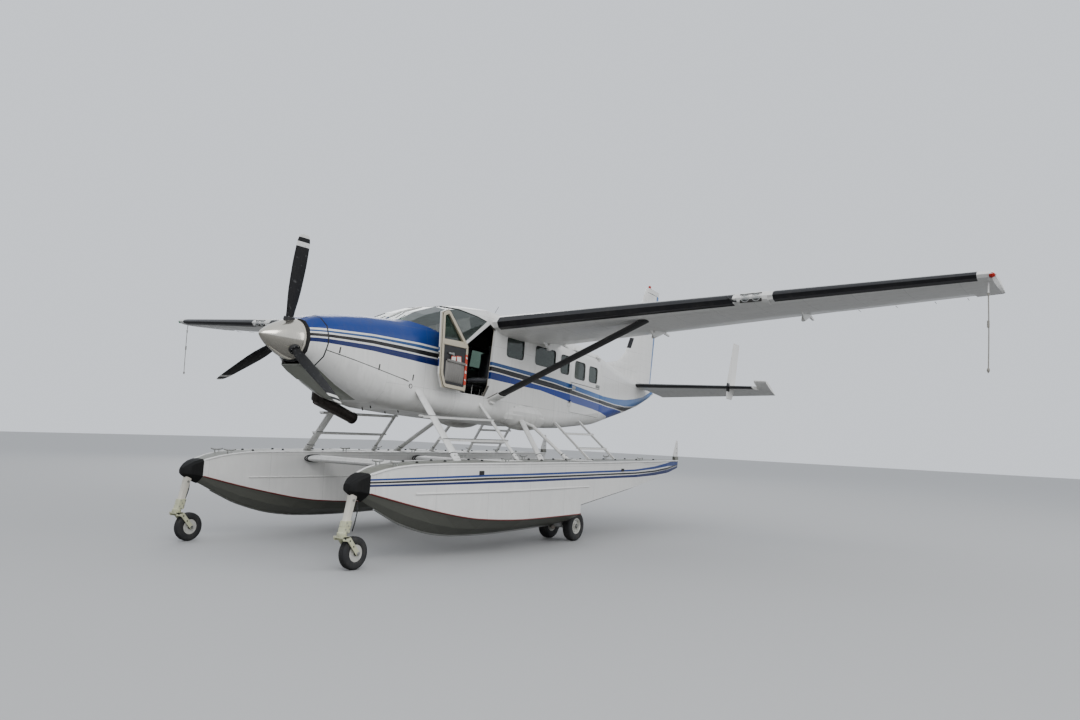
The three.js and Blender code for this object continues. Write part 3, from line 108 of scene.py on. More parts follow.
addCamera()


def newObject(name, data):
    made = bpy.data.objects.new(name, data)
    bpy.context.scene.collection.objects.link(made)
    return made


def addPiece(name, parts, skin, smooth=30, bevel=0.0, body="airframe"):
    points, faces = merged(parts)
    mesh = bpy.data.meshes.new(name)
    mesh.from_pydata([tuple(p) for p in points], [], faces)
    tidy = bmesh.new()
    tidy.from_mesh(mesh)
    bmesh.ops.remove_doubles(tidy, verts=tidy.verts, dist=1e-6)
    bmesh.ops.recalc_face_normals(tidy, faces=tidy.faces)
    tidy.to_mesh(mesh)
    tidy.free()
    piece = newObject(name, mesh)
    mesh.materials.append(skins[skin])
    shadeByAngle(mesh, smooth)
    if bevel:
        edge = piece.modifiers.new("bevel", "BEVEL")
        edge.width = bevel
        edge.segments = 2
        edge.limit_method = "ANGLE"
        edge.harden_normals = False
    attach(piece, body)
    return piece


def shadeByAngle(mesh, degrees):
    mesh.polygons.foreach_set("use_smooth", [True] * len(mesh.polygons))
    mesh.set_sharp_from_angle(angle=radians(degrees))


def ringFaces(count, size, closed=False, capped=True):
    faces = []
    for i in range(count if closed else count - 1):
        a, b = i * size, ((i + 1) % count) * size
        faces += [(a + j, a + (j + 1) % size, b + (j + 1) % size, b + j) for j in range(size)]
    if capped and not closed:
        faces += [tuple(range(size - 1, -1, -1)), tuple((count - 1) * size + j for j in range(size))]
    return faces


def merged(parts):
    points, faces = [], []
    for partPoints, partFaces in parts:
        base = len(points)
        points += partPoints
        faces += [tuple(base + i for i in face) for face in partFaces]
    return points, faces


def loftPart(rings, closed=False, capped=True):
    return [p for ring in rings for p in ring], ringFaces(len(rings), len(rings[0]), closed, capped)


def onBothSides(add):
    for hand, side in hands.items():
        add(hand, side)


def crossFrame(direction):
    axis = direction.normalized()
    guide = upward if abs(axis.z) < 0.9 else Vector((1, 0, 0))
    sideways = axis.cross(guide).normalized()
    return sideways, axis.cross(sideways)


def turns(count):
    return [tau * i / count for i in range(count)]


def circle(centre, direction, radius, count):
    one, two = crossFrame(direction)
    return [centre + (one * cos(tau * i / count) + two * sin(tau * i / count)) * radius for i in range(count)]


def rodPart(start, end, radius, count=12, endRadius=None):
    direction = end - start
    radii = (radius, radius if endRadius is None else endRadius)
    return loftPart([circle(p, direction, r, count) for p, r in zip((start, end), radii)])


def lathePart(profile, origin, direction, count=48, capped=True):
    axis = direction.normalized()
    return loftPart([circle(origin + axis * along, direction, max(radius, 1e-5), count) for along, radius in profile],
                    capped=capped)


def tubePart(points, radius, count=8, closed=False):
    rings = []
    last = len(points) - 1
    for i, p in enumerate(points):
        after = points[(i + 1) % len(points)] if closed else points[min(i + 1, last)]
        before = points[i - 1] if closed or i else points[0]
        rings.append(circle(p, after - before, radius, count))
    return loftPart(rings, closed)


def rectangle(left, low, right, high):
    return [(left, low), (right, low), (right, high), (left, high)]


def boxPart(low, high, place=lambda *p: Vector(p)):
    rings = [[place(x, low[1], low[2]), place(x, high[1], low[2]), place(x, high[1], high[2]),
              place(x, low[1], high[2])] for x in (low[0], high[0])]
    return loftPart(rings)


def smoothLine(points, steps):
    line = []
    last = len(points) - 1
    for i in range(last):
        a, b, c, d = (points[max(i - 1, 0)], points[i], points[i + 1], points[min(i + 2, last)])
        for k in range(steps):
            t = k / steps
            line.append(0.5 * ((2 * b) + (c - a) * t + (2 * a - 5 * b + 4 * c - d) * t * t
                               + (3 * b - a - 3 * c + d) * t ** 3))
    return line + [points[-1]]


def between(table, at):
    for (x0, y0), (x1, y1) in zip(table, table[1:]):
        if at <= x1:
            return y0 + (y1 - y0) * max(0.0, (at - x0) / (x1 - x0))
    return table[-1][1]


print("finishes")


def node(tree, kind, inputs=None, **settings):
    made = tree.nodes.new(kind)
    for key, value in settings.items():
        setattr(made, key, value)
    for key, value in (inputs or {}).items():
        if isinstance(value, bpy.types.NodeSocket):
            tree.links.new(value, made.inputs[key])
        else:
            made.inputs[key].default_value = value
    return made


def treeOf(*values):
    return next(value.id_data for value in values if isinstance(value, bpy.types.NodeSocket))


def maths(kind, a, b=0.0, clamp=False):
    return node(treeOf(a, b), "ShaderNodeMath", {0: a, 1: b}, operation=kind, use_clamp=clamp).outputs[0]


def operation(kind):
    return lambda a, b=0.0, clamp=False: maths(kind, a, b, clamp)


times, plus, minus, divided, larger, below, beyond, unsigned, root, power = map(operation, (
    "MULTIPLY", "ADD", "SUBTRACT", "DIVIDE", "MAXIMUM", "LESS_THAN", "GREATER_THAN", "ABSOLUTE", "SQRT", "POWER"))


def mixed(share, first, second):
    made = node(share.id_data, "ShaderNodeMix", {0: share, 6: first, 7: second}, data_type="RGBA")
    return made.outputs[2]


def ramped(value, low, high, start=0.0, end=1.0):
    inputs = {"Value": value, "From Min": low, "From Max": high, "To Min": start, "To Max": end}
    return node(value.id_data, "ShaderNodeMapRange", inputs, clamp=True).outputs["Result"]


def group(name, inputs, outputs):
    tree = bpy.data.node_groups.new(name, "ShaderNodeTree")
    for socketName, kind, value in inputs:
        socket = tree.interface.new_socket(name=socketName, in_out="INPUT", socket_type=kind)
        socket.default_value = value
    for socketName, kind in outputs:
        tree.interface.new_socket(name=socketName, in_out="OUTPUT", socket_type=kind)
    return tree, tree.nodes.new("NodeGroupInput").outputs, tree.nodes.new("NodeGroupOutput")


def placed(tree, shared, inputs):
    return node(tree, "ShaderNodeGroup", inputs, node_tree=shared).outputs


number, tint, vector = "NodeSocketFloat", "NodeSocketColor", "NodeSocketVector"


def makePlace(name, origin, pitch):
    # lengths aft, across and up from the spinner tip, or from the floats' first station
    tree, _, out = group(name, [], [("Along", number), ("Across", number), ("Rise", number), ("Place", vector)])
    here = node(tree, "ShaderNodeTexCoord").outputs["Object"]
    level = node(tree, "ShaderNodeMapping", {"Vector": here, "Location": origin, "Rotation": (0, pitch, 0)},
                 vector_type="TEXTURE").outputs[0]
    parts = node(tree, "ShaderNodeSeparateXYZ", {0: level}).outputs
    for source, target in zip(parts, ("Along", "Across", "Rise")):
        tree.links.new(source, out.inputs[target])
    tree.links.new(level, out.inputs["Place"])
    return tree


def makeWear():
    tree, given, out = group(
        "surfaceWear",
        [("Colour", tint, (1, 1, 1, 1)), ("Dirt", tint, (0.1, 0.09, 0.07, 1)), ("Amount", number, 0.2),
         ("Scale", number, 3.0), ("Roughness", number, 0.4), ("Spread", number, 0.1), ("Grain", number, 120.0)],
        [("Colour", tint), ("Roughness", number), ("Height", number)])
    here = node(tree, "ShaderNodeTexCoord").outputs["Object"]
    cloud = node(tree, "ShaderNodeTexNoise", {"Vector": here, "Scale": given["Scale"], "Detail": 6.0,
                                              "Roughness": 0.62}).outputs["Fac"]
    streakPlace = node(tree, "ShaderNodeMapping", {"Vector": here, "Scale": (5.0, 5.0, 0.7)}).outputs[0]
    streak = node(tree, "ShaderNodeTexNoise", {"Vector": streakPlace, "Scale": given["Scale"],
                                               "Detail": 4.0}).outputs["Fac"]
    soil = times(ramped(cloud, 0.42, 0.75), ramped(streak, 0.4, 0.7))
    soil = times(soil, given["Amount"], clamp=True)
    fine = node(tree, "ShaderNodeTexNoise", {"Vector": here, "Scale": given["Grain"], "Detail": 3.0}).outputs["Fac"]
    shade = ramped(cloud, 0.3, 0.7, 0.93, 1.04)
    toned = node(tree, "ShaderNodeVectorMath", {0: given["Colour"], "Scale": shade}, operation="SCALE").outputs[0]
    tree.links.new(mixed(soil, toned, given["Dirt"]), out.inputs["Colour"])
    lift = times(minus(cloud, 0.5), given["Spread"])
    worn = plus(plus(given["Roughness"], lift), times(soil, 0.3))
    tree.links.new(worn, out.inputs["Roughness"])
    tree.links.new(fine, out.inputs["Height"])
    return tree


def makeSeams():
    tree, given, out = group(
        "plateSeams",
        [("Along", number, 0.0), ("Up", number, 0.0), ("Plate", number, 0.9), ("Row", number, 0.45),
         ("Width", number, 0.004), ("Pitch", number, 0.04), ("Rivet", number, 0.005)],
        [("Seam", number), ("Rivets", number), ("Height", number)])

    def offLine(value, spacing):
        share = maths("FRACT", divided(value, spacing))
        return times(unsigned(minus(share, 0.5)), spacing)

    crossways, lengthways = (offLine(given[a], given[b]) for a, b in (("Along", "Plate"), ("Up", "Row")))
    lines = [below(gap, times(given["Width"], 0.5)) for gap in (crossways, lengthways)]
    seam = larger(*lines)
    dots = []
    for gap, run in ((crossways, given["Up"]), (lengthways, given["Along"])):
        side = unsigned(minus(gap, 0.014))
        beside = offLine(run, given["Pitch"])
        far = root(plus(power(side, 2.0), power(beside, 2.0)))
        dots.append(below(far, times(given["Rivet"], 0.5)))
    rivets = larger(*dots)
    tree.links.new(seam, out.inputs["Seam"])
    tree.links.new(rivets, out.inputs["Rivets"])
    tree.links.new(minus(rivets, seam), out.inputs["Height"])
    return tree


def makeBand():
    tree, given, out = group("paintBand", [("Rise", number, 0.0), ("Low", number, 0.0), ("High", number, 0.1)],
                             [("Mask", number)])
    over = ramped(minus(given["Rise"], given["Low"]), -0.001, 0.001)
    under = ramped(minus(given["High"], given["Rise"]), -0.001, 0.001)
    tree.links.new(times(over, under), out.inputs["Mask"])
    return tree


def makeWeave():
    tree, given, out = group("clothWeave", [("Scale", number, 400.0)], [("Shade", number), ("Height", number)])
    here = node(tree, "ShaderNodeTexCoord").outputs["Object"]
    threads = [node(tree, "ShaderNodeTexWave", {"Vector": here, "Scale": given["Scale"], "Distortion": 1.2,
                                                "Detail": 1.0}, bands_direction=way).outputs["Fac"] for way in "XYZ"]
    woven = larger(times(threads[0], threads[1]), threads[2])
    tree.links.new(ramped(woven, 0.0, 1.0, 0.72, 1.08), out.inputs["Shade"])
    tree.links.new(woven, out.inputs["Height"])
    return tree


shared = {
    "air": makePlace("airframePlace", attitude["tip"], attitude["pitch"]),
    "ground": makePlace("groundPlace", (-attitude["halfLength"], 0, 0), 0),
    "wear": makeWear(), "seams": makeSeams(), "band": makeBand(), "weave": makeWeave(),
}


def curveLine(along, table, low=-1.0, high=1.5, reach=12.0):
    share = divided(along, reach)
    made = node(along.id_data, "ShaderNodeFloatCurve", {"Value": share})
    line = made.mapping.curves[0]
    scaled = [(a / reach, (v - low) / (high - low)) for a, v in table]
    scaled = [(0.0, scaled[0][1])] + scaled + [(1.0, scaled[-1][1])]
    while len(line.points) < len(scaled):
        line.points.new(0.5, 0.5)
    for point, (x, y) in zip(line.points, scaled):
        point.location = (x, y)
        point.handle_type = "VECTOR"
    made.mapping.update()
    return plus(times(made.outputs[0], high - low), low)


def startMaterial(name):
    made = bpy.data.materials.new(name)
    made.use_nodes = True
    return made, made.node_tree, made.node_tree.nodes["Principled BSDF"]


def finish(name, colour, roughness=0.4, metallic=0.0, dirt=(0.09, 0.08, 0.065), amount=0.2, scale=3.0, spread=0.12,
           grain=150.0, bump=0.05, depth=0.001, coat=0.0, place=None, paint=None, form=None, level=0.5, sheen=0.0):
    made, tree, shader = startMaterial(name)
    where = placed(tree, shared[place], {}) if place else None
    base = (*colour, 1)
    height = None
    if paint:
        base, height = paint(tree, where, base)
    worn = placed(tree, shared["wear"], {"Colour": base, "Dirt": (*dirt, 1), "Amount": amount, "Scale": scale,
                                         "Roughness": roughness, "Spread": spread, "Grain": grain})
    tree.links.new(worn["Colour"], shader.inputs["Base Color"])
    tree.links.new(worn["Roughness"], shader.inputs["Roughness"])
    shader.inputs["Metallic"].default_value = metallic
    shader.inputs["Coat Weight"].default_value = coat
    shader.inputs["Specular IOR Level"].default_value = level
    shader.inputs["Sheen Weight"].default_value = sheen
    normal = node(tree, "ShaderNodeBump", {"Height": worn["Height"], "Strength": bump, "Distance": depth})
    if form:
        tree.links.new(form(tree, where), normal.inputs["Normal"])
    if height is not None:
        normal = node(tree, "ShaderNodeBump", {"Height": height, "Strength": 0.35, "Distance": 0.0015,
                                               "Normal": normal.outputs[0]})
    tree.links.new(normal.outputs[0], shader.inputs["Normal"])
    return made


# colours of the coats, as linear red, green and blue
coats = {
    "white": (0.78, 0.77, 0.74), "cream": (0.7, 0.66, 0.57), "blue": (0.008, 0.04, 0.21),
    "darkBlue": (0.003, 0.013, 0.1),
    "steelBlue": (0.025, 0.075, 0.21), "black": (0.012, 0.012, 0.014), "deckGrey": (0.2, 0.2, 0.17),
    "hullGrey": (0.15, 0.152, 0.128), "chineRed": (0.16, 0.02, 0.015), "beige": (0.56, 0.5, 0.38),
    "cabin": (0.13, 0.125, 0.115), "skyBlue": (0.05, 0.15, 0.38), "tailBlue": (0.008, 0.04, 0.26),
    # the chin colour is partly grey paint, partly painted shade under the nose
    "chinGreyAndShade": (0.24, 0.25, 0.21), "seam": (0.1, 0.1, 0.095),
}

# lines of the fuselage bands, as station and height
bands = {
    "top": [(0.5, 0.155), (1.42, 0.204), (2.23, 0.212), (4.09, 0.172), (5.73, 0.14), (6.82, 0.089), (7.74, 0.046),
            (8.5, 0.07), (9.2, 0.123), (9.8, 0.205), (10.39, 0.312), (11.02, 0.512)],
    "upperLow": [(0.5, 0.107), (1.42, 0.146), (2.23, 0.141), (4.09, 0.116), (5.73, 0.065), (6.24, 0.03), (7.46, -0.03),
                 (8.46, -0.042), (9.2, -0.02), (9.81, 0.042), (10.4, 0.17), (11.1, 0.45)],
    "blackHigh": [(0.5, 0.084), (1.42, 0.119), (2.23, 0.114), (4.09, 0.1), (5.73, 0.051), (6.24, 0.016), (7.46, -0.044),
                  (8.46, -0.056), (9.2, -0.034), (9.9, 0.03), (10.6, 0.2)],
    "blackLow": [(0.5, 0.046), (1.42, 0.071), (2.23, 0.051), (4.09, 0.026), (5.73, -0.041), (6.84, -0.083),
                 (7.95, -0.125), (9.05, -0.123), (9.9, -0.06), (10.6, 0.1)],
    "lowHigh": [(0.5, 0.025), (1.42, 0.044), (2.23, 0.03), (4.09, 0.008), (5.73, -0.055), (6.84, -0.097),
                (7.95, -0.139), (9.05, -0.137), (9.9, -0.3)],
    "lowLow": [(0.5, -0.026), (1.42, -0.028), (2.23, -0.064), (4.09, -0.108), (5.3, -0.118), (6.27, -0.21),
               (7.24, -0.252), (8.15, -0.325), (8.7, -0.47)],
    "pin": 0.026, "noseEnd": 3.1, "deckTop": 0.63,
}

shell = {"front": 1.7, "rear": 7.64}  # stations between which the cabin is lined

# the fuselage's cross sections, as station and half width, crown, keel, upper and lower corner radius
sections = {
    "half": [(0.56, 0.335), (0.63, 0.415), (0.74, 0.49), (1.09, 0.57), (1.45, 0.635), (2.095, 0.73), (2.53, 0.765),
             (2.966, 0.79), (3.3, 0.805), (3.8, 0.812), (5.83, 0.812), (6.25, 0.805), (7.64, 0.69), (8.42, 0.545),
             (9.35, 0.37), (10.2, 0.225), (10.9, 0.095)],
    "crown": [(0.56, 0.282), (0.63, 0.322), (0.74, 0.365), (1.09, 0.435), (1.45, 0.487), (2.095, 0.54), (2.53, 0.765),
              (2.966, 0.926), (3.3, 0.985), (3.8, 1.01), (5.83, 1.0), (6.25, 0.97), (7.64, 0.86), (8.42, 0.77),
              (9.35, 0.68), (10.2, 0.615), (10.9, 0.56)],
    "keel": [(0.56, -0.292), (0.63, -0.33), (0.74, -0.388), (1.09, -0.57), (1.45, -0.7), (2.095, -0.76), (2.53, -0.765),
             (3.8, -0.77), (5.83, -0.74), (6.25, -0.705), (7.64, -0.53), (8.42, -0.36), (9.35, -0.15), (10.2, 0.075),
             (10.9, 0.32)],
    "upper": [(0.56, 0.27), (0.74, 0.32), (1.45, 0.35), (2.095, 0.37), (2.53, 0.47), (2.966, 0.48), (3.3, 0.38),
              (3.8, 0.19), (5.83, 0.19), (6.25, 0.23), (8.42, 0.23), (9.35, 0.18), (10.2, 0.12), (10.9, 0.06)],
    "lower": [(0.56, 0.27), (0.74, 0.35), (1.09, 0.4), (1.45, 0.39), (2.095, 0.29), (2.53, 0.24), (3.3, 0.215),
              (5.83, 0.21), (7.64, 0.24), (8.42, 0.24), (9.35, 0.19), (10.2, 0.14), (10.9, 0.07)],
    "step": 0.14, "agree": 0.9,
}


def roundForm(tree, where):
    # a smooth direction for the skin's flat facets, worked out from the cross sections
    along, across, rise = where["Along"], where["Across"], where["Rise"]
    lines = {key: curveLine(along, value) for key, value in sections.items() if isinstance(value, list)}

    def slope(key):
        step = sections["step"]
        ahead, behind = (curveLine(plus(along, shift), sections[key]) for shift in (-step, step))
        return divided(minus(ahead, behind), 2 * step)

    out = unsigned(across)
    outer = []
    for radius in (lines["upper"], lines["lower"]):
        outer.append(larger(minus(out, minus(lines["half"], radius)), 0.0))
    high = larger(minus(rise, minus(lines["crown"], lines["upper"])), 0.0)
    low = larger(minus(plus(lines["keel"], lines["lower"]), rise), 0.0)
    above = beyond(rise, 0.0)
    away = mixed(above, outer[1], outer[0])
    lift = minus(high, low)
    length = larger(root(plus(power(away, 2.0), power(lift, 2.0))), 0.001)
    away = divided(away, length)
    lift = divided(lift, length)
    fore = plus(times(away, slope("half")), minus(times(larger(lift, 0.0), slope("crown")),
                                                  times(larger(times(lift, -1.0), 0.0), slope("keel"))))
    sideways = times(away, maths("SIGN", across))
    # back from the airframe's own lengths to the ground's
    c, s = cos(attitude["pitch"]), sin(attitude["pitch"])
    level = plus(times(fore, c), times(lift, s))
    up = minus(times(lift, c), times(fore, s))
    smooth = node(tree, "ShaderNodeCombineXYZ", {0: level, 1: sideways, 2: up}).outputs[0]
    smooth = node(tree, "ShaderNodeVectorMath", {0: smooth}, operation="NORMALIZE").outputs[0]
    flat = node(tree, "ShaderNodeNewGeometry").outputs["Normal"]
    agree = node(tree, "ShaderNodeVectorMath", {0: smooth, 1: flat}, operation="DOT_PRODUCT").outputs["Value"]
    return mixed(beyond(agree, sections["agree"]), flat, smooth)


def coated(share, colour, coat):
    return mixed(share, colour, (*coats[coat], 1))


def bandMask(rise, low, high):
    return placed(rise.id_data, shared["band"], {"Rise": rise, "Low": low, "High": high})["Mask"]


def fuselagePaint(tree, where, base):
    along, rise = where["Along"], where["Rise"]
    lines = {key: curveLine(along, value) for key, value in bands.items() if isinstance(value, list)}
    lower = coated(ramped(along, 3.2, 5.2), (*coats["darkBlue"], 1), "tailBlue")
    colour = mixed(bandMask(rise, lines["lowLow"], lines["lowHigh"]), base, lower)
    colour = coated(bandMask(rise, lines["blackLow"], lines["blackHigh"]), colour, "black")
    upper = ramped(along, 2.6, 5.8)
    steel = coated(ramped(along, 5.6, 7.5), (*coats["steelBlue"], 1), "skyBlue")
    steel = mixed(upper, (*coats["steelBlue"], 1), steel)
    colour = mixed(bandMask(rise, lines["upperLow"], lines["top"]), colour, steel)
    nose = below(along, bands["noseEnd"])
    pin = times(nose, bandMask(rise, minus(lines["top"], bands["pin"]), lines["top"]))
    colour = mixed(pin, colour, base)
    deck = times(nose, bandMask(rise, lines["top"], bands["deckTop"]))
    colour = coated(deck, colour, "blue")
    return colour, rise


def seamed(colour, along, up, plate, row, width=0.003, seam=0.45, rivet=0.22):
    made = placed(along.id_data, shared["seams"], {"Along": along, "Up": up, "Plate": plate, "Row": row,
                                                   "Width": width})
    colour = coated(times(made["Seam"], seam), colour, "seam")
    if rivet:
        colour = coated(times(made["Rivets"], rivet), colour, "seam")
    return colour, made["Height"]


def fuselageCoat(tree, where, base):
    colour, rise = fuselagePaint(tree, where, base)
    # the cowl's side seam runs on a little way behind the firewall
    split = plus(-0.129, times(minus(where["Along"], 0.788), -0.183))
    seam = times(below(where["Along"], 2.0), bandMask(rise, minus(split, 0.0055), plus(split, 0.0055)))
    colour = coated(seam, colour, "black")
    colour, height = seamed(colour, where["Along"], plus(rise, 0.21), 0.68, 0.43, seam=0.5, rivet=0.25)
    # the fin's black boot between its two heights, and the blue at the rear of the tail
    boot = times(bandMask(rise, 1.36, 1.61), below(minus(where["Along"], times(rise, 0.518)), 9.25))
    colour = coated(boot, colour, "black")
    # a face that looks towards the cabin's middle is lining
    facing = node(tree, "ShaderNodeSeparateXYZ", {0: node(tree, "ShaderNodeNewGeometry").outputs["Normal"]})
    inward = plus(times(facing.outputs["Y"], where["Across"]), times(facing.outputs["Z"], minus(rise, 0.1)))
    inside = times(below(inward, -0.05), bandMask(where["Along"], shell["front"], shell["rear"]))
    colour = coated(inside, colour, "cabin")
    belly = ramped(rise, -0.62, -0.78)
    stain = node(tree, "ShaderNodeTexNoise", {"Vector": where["Place"], "Scale": 2.5, "Detail": 8.0}).outputs["Fac"]
    soil = times(times(belly, ramped(stain, 0.35, 0.7)), 0.55)
    return mixed(soil, colour, (0.16, 0.145, 0.12, 1)), height


def cowlCoat(tree, where, base):
    colour, rise = fuselagePaint(tree, where, base)
    along = where["Along"]
    lip = plus(0.735, times(power(rise, 2.0), -0.25))
    ring = maths("COMPARE", along, lip)
    ring.node.inputs[2].default_value = 0.0075
    split = plus(-0.129, times(minus(along, 0.788), -0.183))
    line = maths("COMPARE", rise, split)
    line.node.inputs[2].default_value = 0.0055
    line = times(line, beyond(along, 0.74))
    seam = larger(ring, line)
    colour = coated(seam, colour, "black")
    # a grey patch under the chin, carried aft where shade falls under the nose: partly grey paint, partly painted shade
    chin = times(below(along, 1.5), below(rise, minus(-0.17, times(along, 0.24))))
    inner = times(chin, below(unsigned(where["Across"]), 0.3))
    colour = coated(inner, colour, "chinGreyAndShade")
    # the cowl's front face in black: painted shadow in the gap behind the spinner
    frontFaceShadow = below(along, 0.5615)
    colour = coated(frontFaceShadow, colour, "black")
    return colour, times(seam, -1.0)


def boots(where, colour, lead, slope, depth, low=0.9, high=7.75):
    away = unsigned(where["Across"])
    edge = plus(times(away, slope), lead + depth)
    mask = times(below(where["Along"], edge), bandMask(away, low, high))
    return coated(mask, colour, "black")


def wingCoat(tree, where, base):
    away = unsigned(where["Across"])
    colour, height = seamed(base, plus(away, 0.2), minus(where["Along"], 3.9), 0.62, 0.5)
    dark = boots(where, colour, 3.785, 0.023, 0.13)
    lamp = bandMask(away, 4.78, 5.33)
    return mixed(lamp, dark, colour), height


def tailCoat(tree, where, base):
    away = unsigned(where["Across"])
    colour, height = seamed(base, away, minus(where["Along"], 10.0), 0.55, 0.36, rivet=0)
    flat = bandMask(where["Rise"], 0.42, 0.6)
    booted = boots(where, colour, 9.78, 0.096, 0.12, 0.28, 2.84)
    return mixed(flat, colour, booted), height


def rudderCoat(tree, where, base):
    rear = plus(11.0, times(where["Rise"], 0.06))
    blue = beyond(where["Along"], rear)
    colour, height = seamed(base, where["Rise"], where["Along"], 0.14, 3.0, 0.006, 0.14, 0)
    return coated(blue, colour, "skyBlue"), height


def ribbedCoat(tree, where, base):
    return seamed(base, unsigned(where["Across"]), where["Along"], 0.15, 3.0, 0.006, 0.14, 0)


floatTable = [
    # station, deck half width, chine half width, keel, chine, deck edge, crown
    (0.13, 0.042, 0.036, 0.915, 0.935, 0.975, 1.002), (0.2, 0.088, 0.08, 0.88, 0.925, 1.025, 1.052),
    (0.27, 0.108, 0.1, 0.842, 0.924, 1.064, 1.092), (0.4, 0.138, 0.131, 0.79, 0.893, 1.113, 1.133),
    (0.6, 0.184, 0.178, 0.693, 0.84, 1.168, 1.188), (0.8, 0.224, 0.219, 0.598, 0.788, 1.204, 1.224),
    (1.05, 0.266, 0.262, 0.49, 0.727, 1.228, 1.248), (1.5, 0.338, 0.336, 0.357, 0.628, 1.241, 1.261),
    (1.9, 0.4, 0.399, 0.289, 0.553, 1.246, 1.266), (2.3, 0.45, 0.45, 0.256, 0.507, 1.248, 1.268),
    (3.1, 0.5, 0.5, 0.235, 0.465, 1.25, 1.27), (4.64, 0.5, 0.5, 0.255, 0.46, 1.25, 1.27),
    (4.645, 0.5, 0.49, 0.44, 0.6, 1.25, 1.27), (6.64, 0.45, 0.43, 0.69, 0.83, 1.25, 1.27),
    (8.2, 0.27, 0.25, 0.93, 1.01, 1.25, 1.27), (9.12, 0.07, 0.06, 1.075, 1.105, 1.238, 1.258),
]

floatLines = {
    "first": ([(0.37, 1.044), (2.3, 1.078), (4.5, 1.086), (6.5, 1.091), (7.5, 1.115), (8.3, 1.155), (9.1, 1.145)],
              [(0.37, 1.066), (2.3, 1.108), (4.5, 1.117), (6.5, 1.124), (7.5, 1.16), (8.3, 1.225), (9.1, 1.265)],
              "blue"),
    "second": ([(0.37, 1.01), (2.3, 1.036), (4.5, 1.041), (6.5, 1.044), (7.5, 1.056), (8.3, 1.095), (9.1, 1.155)],
               [(0.37, 1.032), (2.3, 1.066), (4.5, 1.07), (6.5, 1.073), (7.5, 1.088), (8.3, 1.13), (9.1, 1.175)],
               "black"),
    "third": ([(0.37, 0.972), (2.3, 0.988), (4.5, 0.991), (6.5, 0.986), (7.5, 0.995), (8.3, 1.025), (9.1, 1.075)],
              [(0.37, 0.997), (2.3, 1.023), (4.5, 1.027), (6.5, 1.03), (7.5, 1.05), (8.3, 1.09), (9.1, 1.145)],
              "darkBlue"),
}


def makeFloatCoat(striped):
    def coat(tree, where, base):
        along, rise = where["Along"], where["Rise"]
        colour = base
        if striped:
            outboard = below(where["Across"], -1.66)
            for low, high, paint in floatLines.values():
                mask = bandMask(rise, curveLine(along, low), curveLine(along, high))
                colour = mixed(times(mask, outboard), colour, (*coats[paint], 1))
        chine, deck = (curveLine(along, [(row[0], row[k]) for row in floatTable]) for k in (4, 5))
        colour, height = seamed(colour, along, minus(rise, 0.2), 0.92, 2.0, 0.004, 0.35, 0)
        colour = coated(beyond(rise, plus(deck, 0.0135)), colour, "deckGrey")
        colour = coated(below(rise, chine), colour, "hullGrey")
        red = bandMask(rise, minus(chine, 0.014), minus(chine, 0.001))
        return coated(red, colour, "chineRed"), height
    return coat


def bladeCoat(tree, where, base):
    out = root(plus(power(where["Across"], 2.0), power(where["Rise"], 2.0)))
    tip = larger(bandMask(out, 1.355, 2.0), bandMask(out, 1.232, 1.295))
    colour = mixed(tip, base, (0.72, 0.71, 0.68, 1))
    chips = node(tree, "ShaderNodeTexNoise", {"Vector": where["Place"], "Scale": 22.0, "Detail": 6.0}).outputs["Fac"]
    return mixed(times(ramped(chips, 0.62, 0.7), 0.4), colour, (0.16, 0.16, 0.16, 1)), None


def clothCoat(tree, where, base):
    woven = placed(tree, shared["weave"], {"Scale": 160.0})
    return node(tree, "ShaderNodeVectorMath", {0: base[:3], "Scale": woven["Shade"]},
                operation="SCALE").outputs[0], woven["Height"]


def treadCoat(tree, where, base):
    grip = node(tree, "ShaderNodeTexVoronoi", {"Vector": where["Place"], "Scale": 90.0}).outputs["Distance"]
    return base, times(grip, 2.0)


def glass(name, colour, rough=0.03, weight=0.9, level=0.5):
    made, tree, shader = startMaterial(name)
    haze = node(tree, "ShaderNodeTexNoise", {"Vector": node(tree, "ShaderNodeTexCoord").outputs["Object"], "Scale": 5.0,
                                             "Detail": 4.0}).outputs["Fac"]
    tree.links.new(ramped(haze, 0.35, 0.8, rough, rough + 0.05), shader.inputs["Roughness"])
    shade = mixed(ramped(haze, 0.3, 0.8), (*colour, 1), (*[c * 0.85 for c in colour], 1))
    tree.links.new(shade, shader.inputs["Base Color"])
    shader.inputs["Transmission Weight"].default_value = weight
    shader.inputs["IOR"].default_value = 1.45
    shader.inputs["Specular IOR Level"].default_value = level
    return made


def bandsOnly(tree, where, base):
    return fuselagePaint(tree, where, base)[0], None


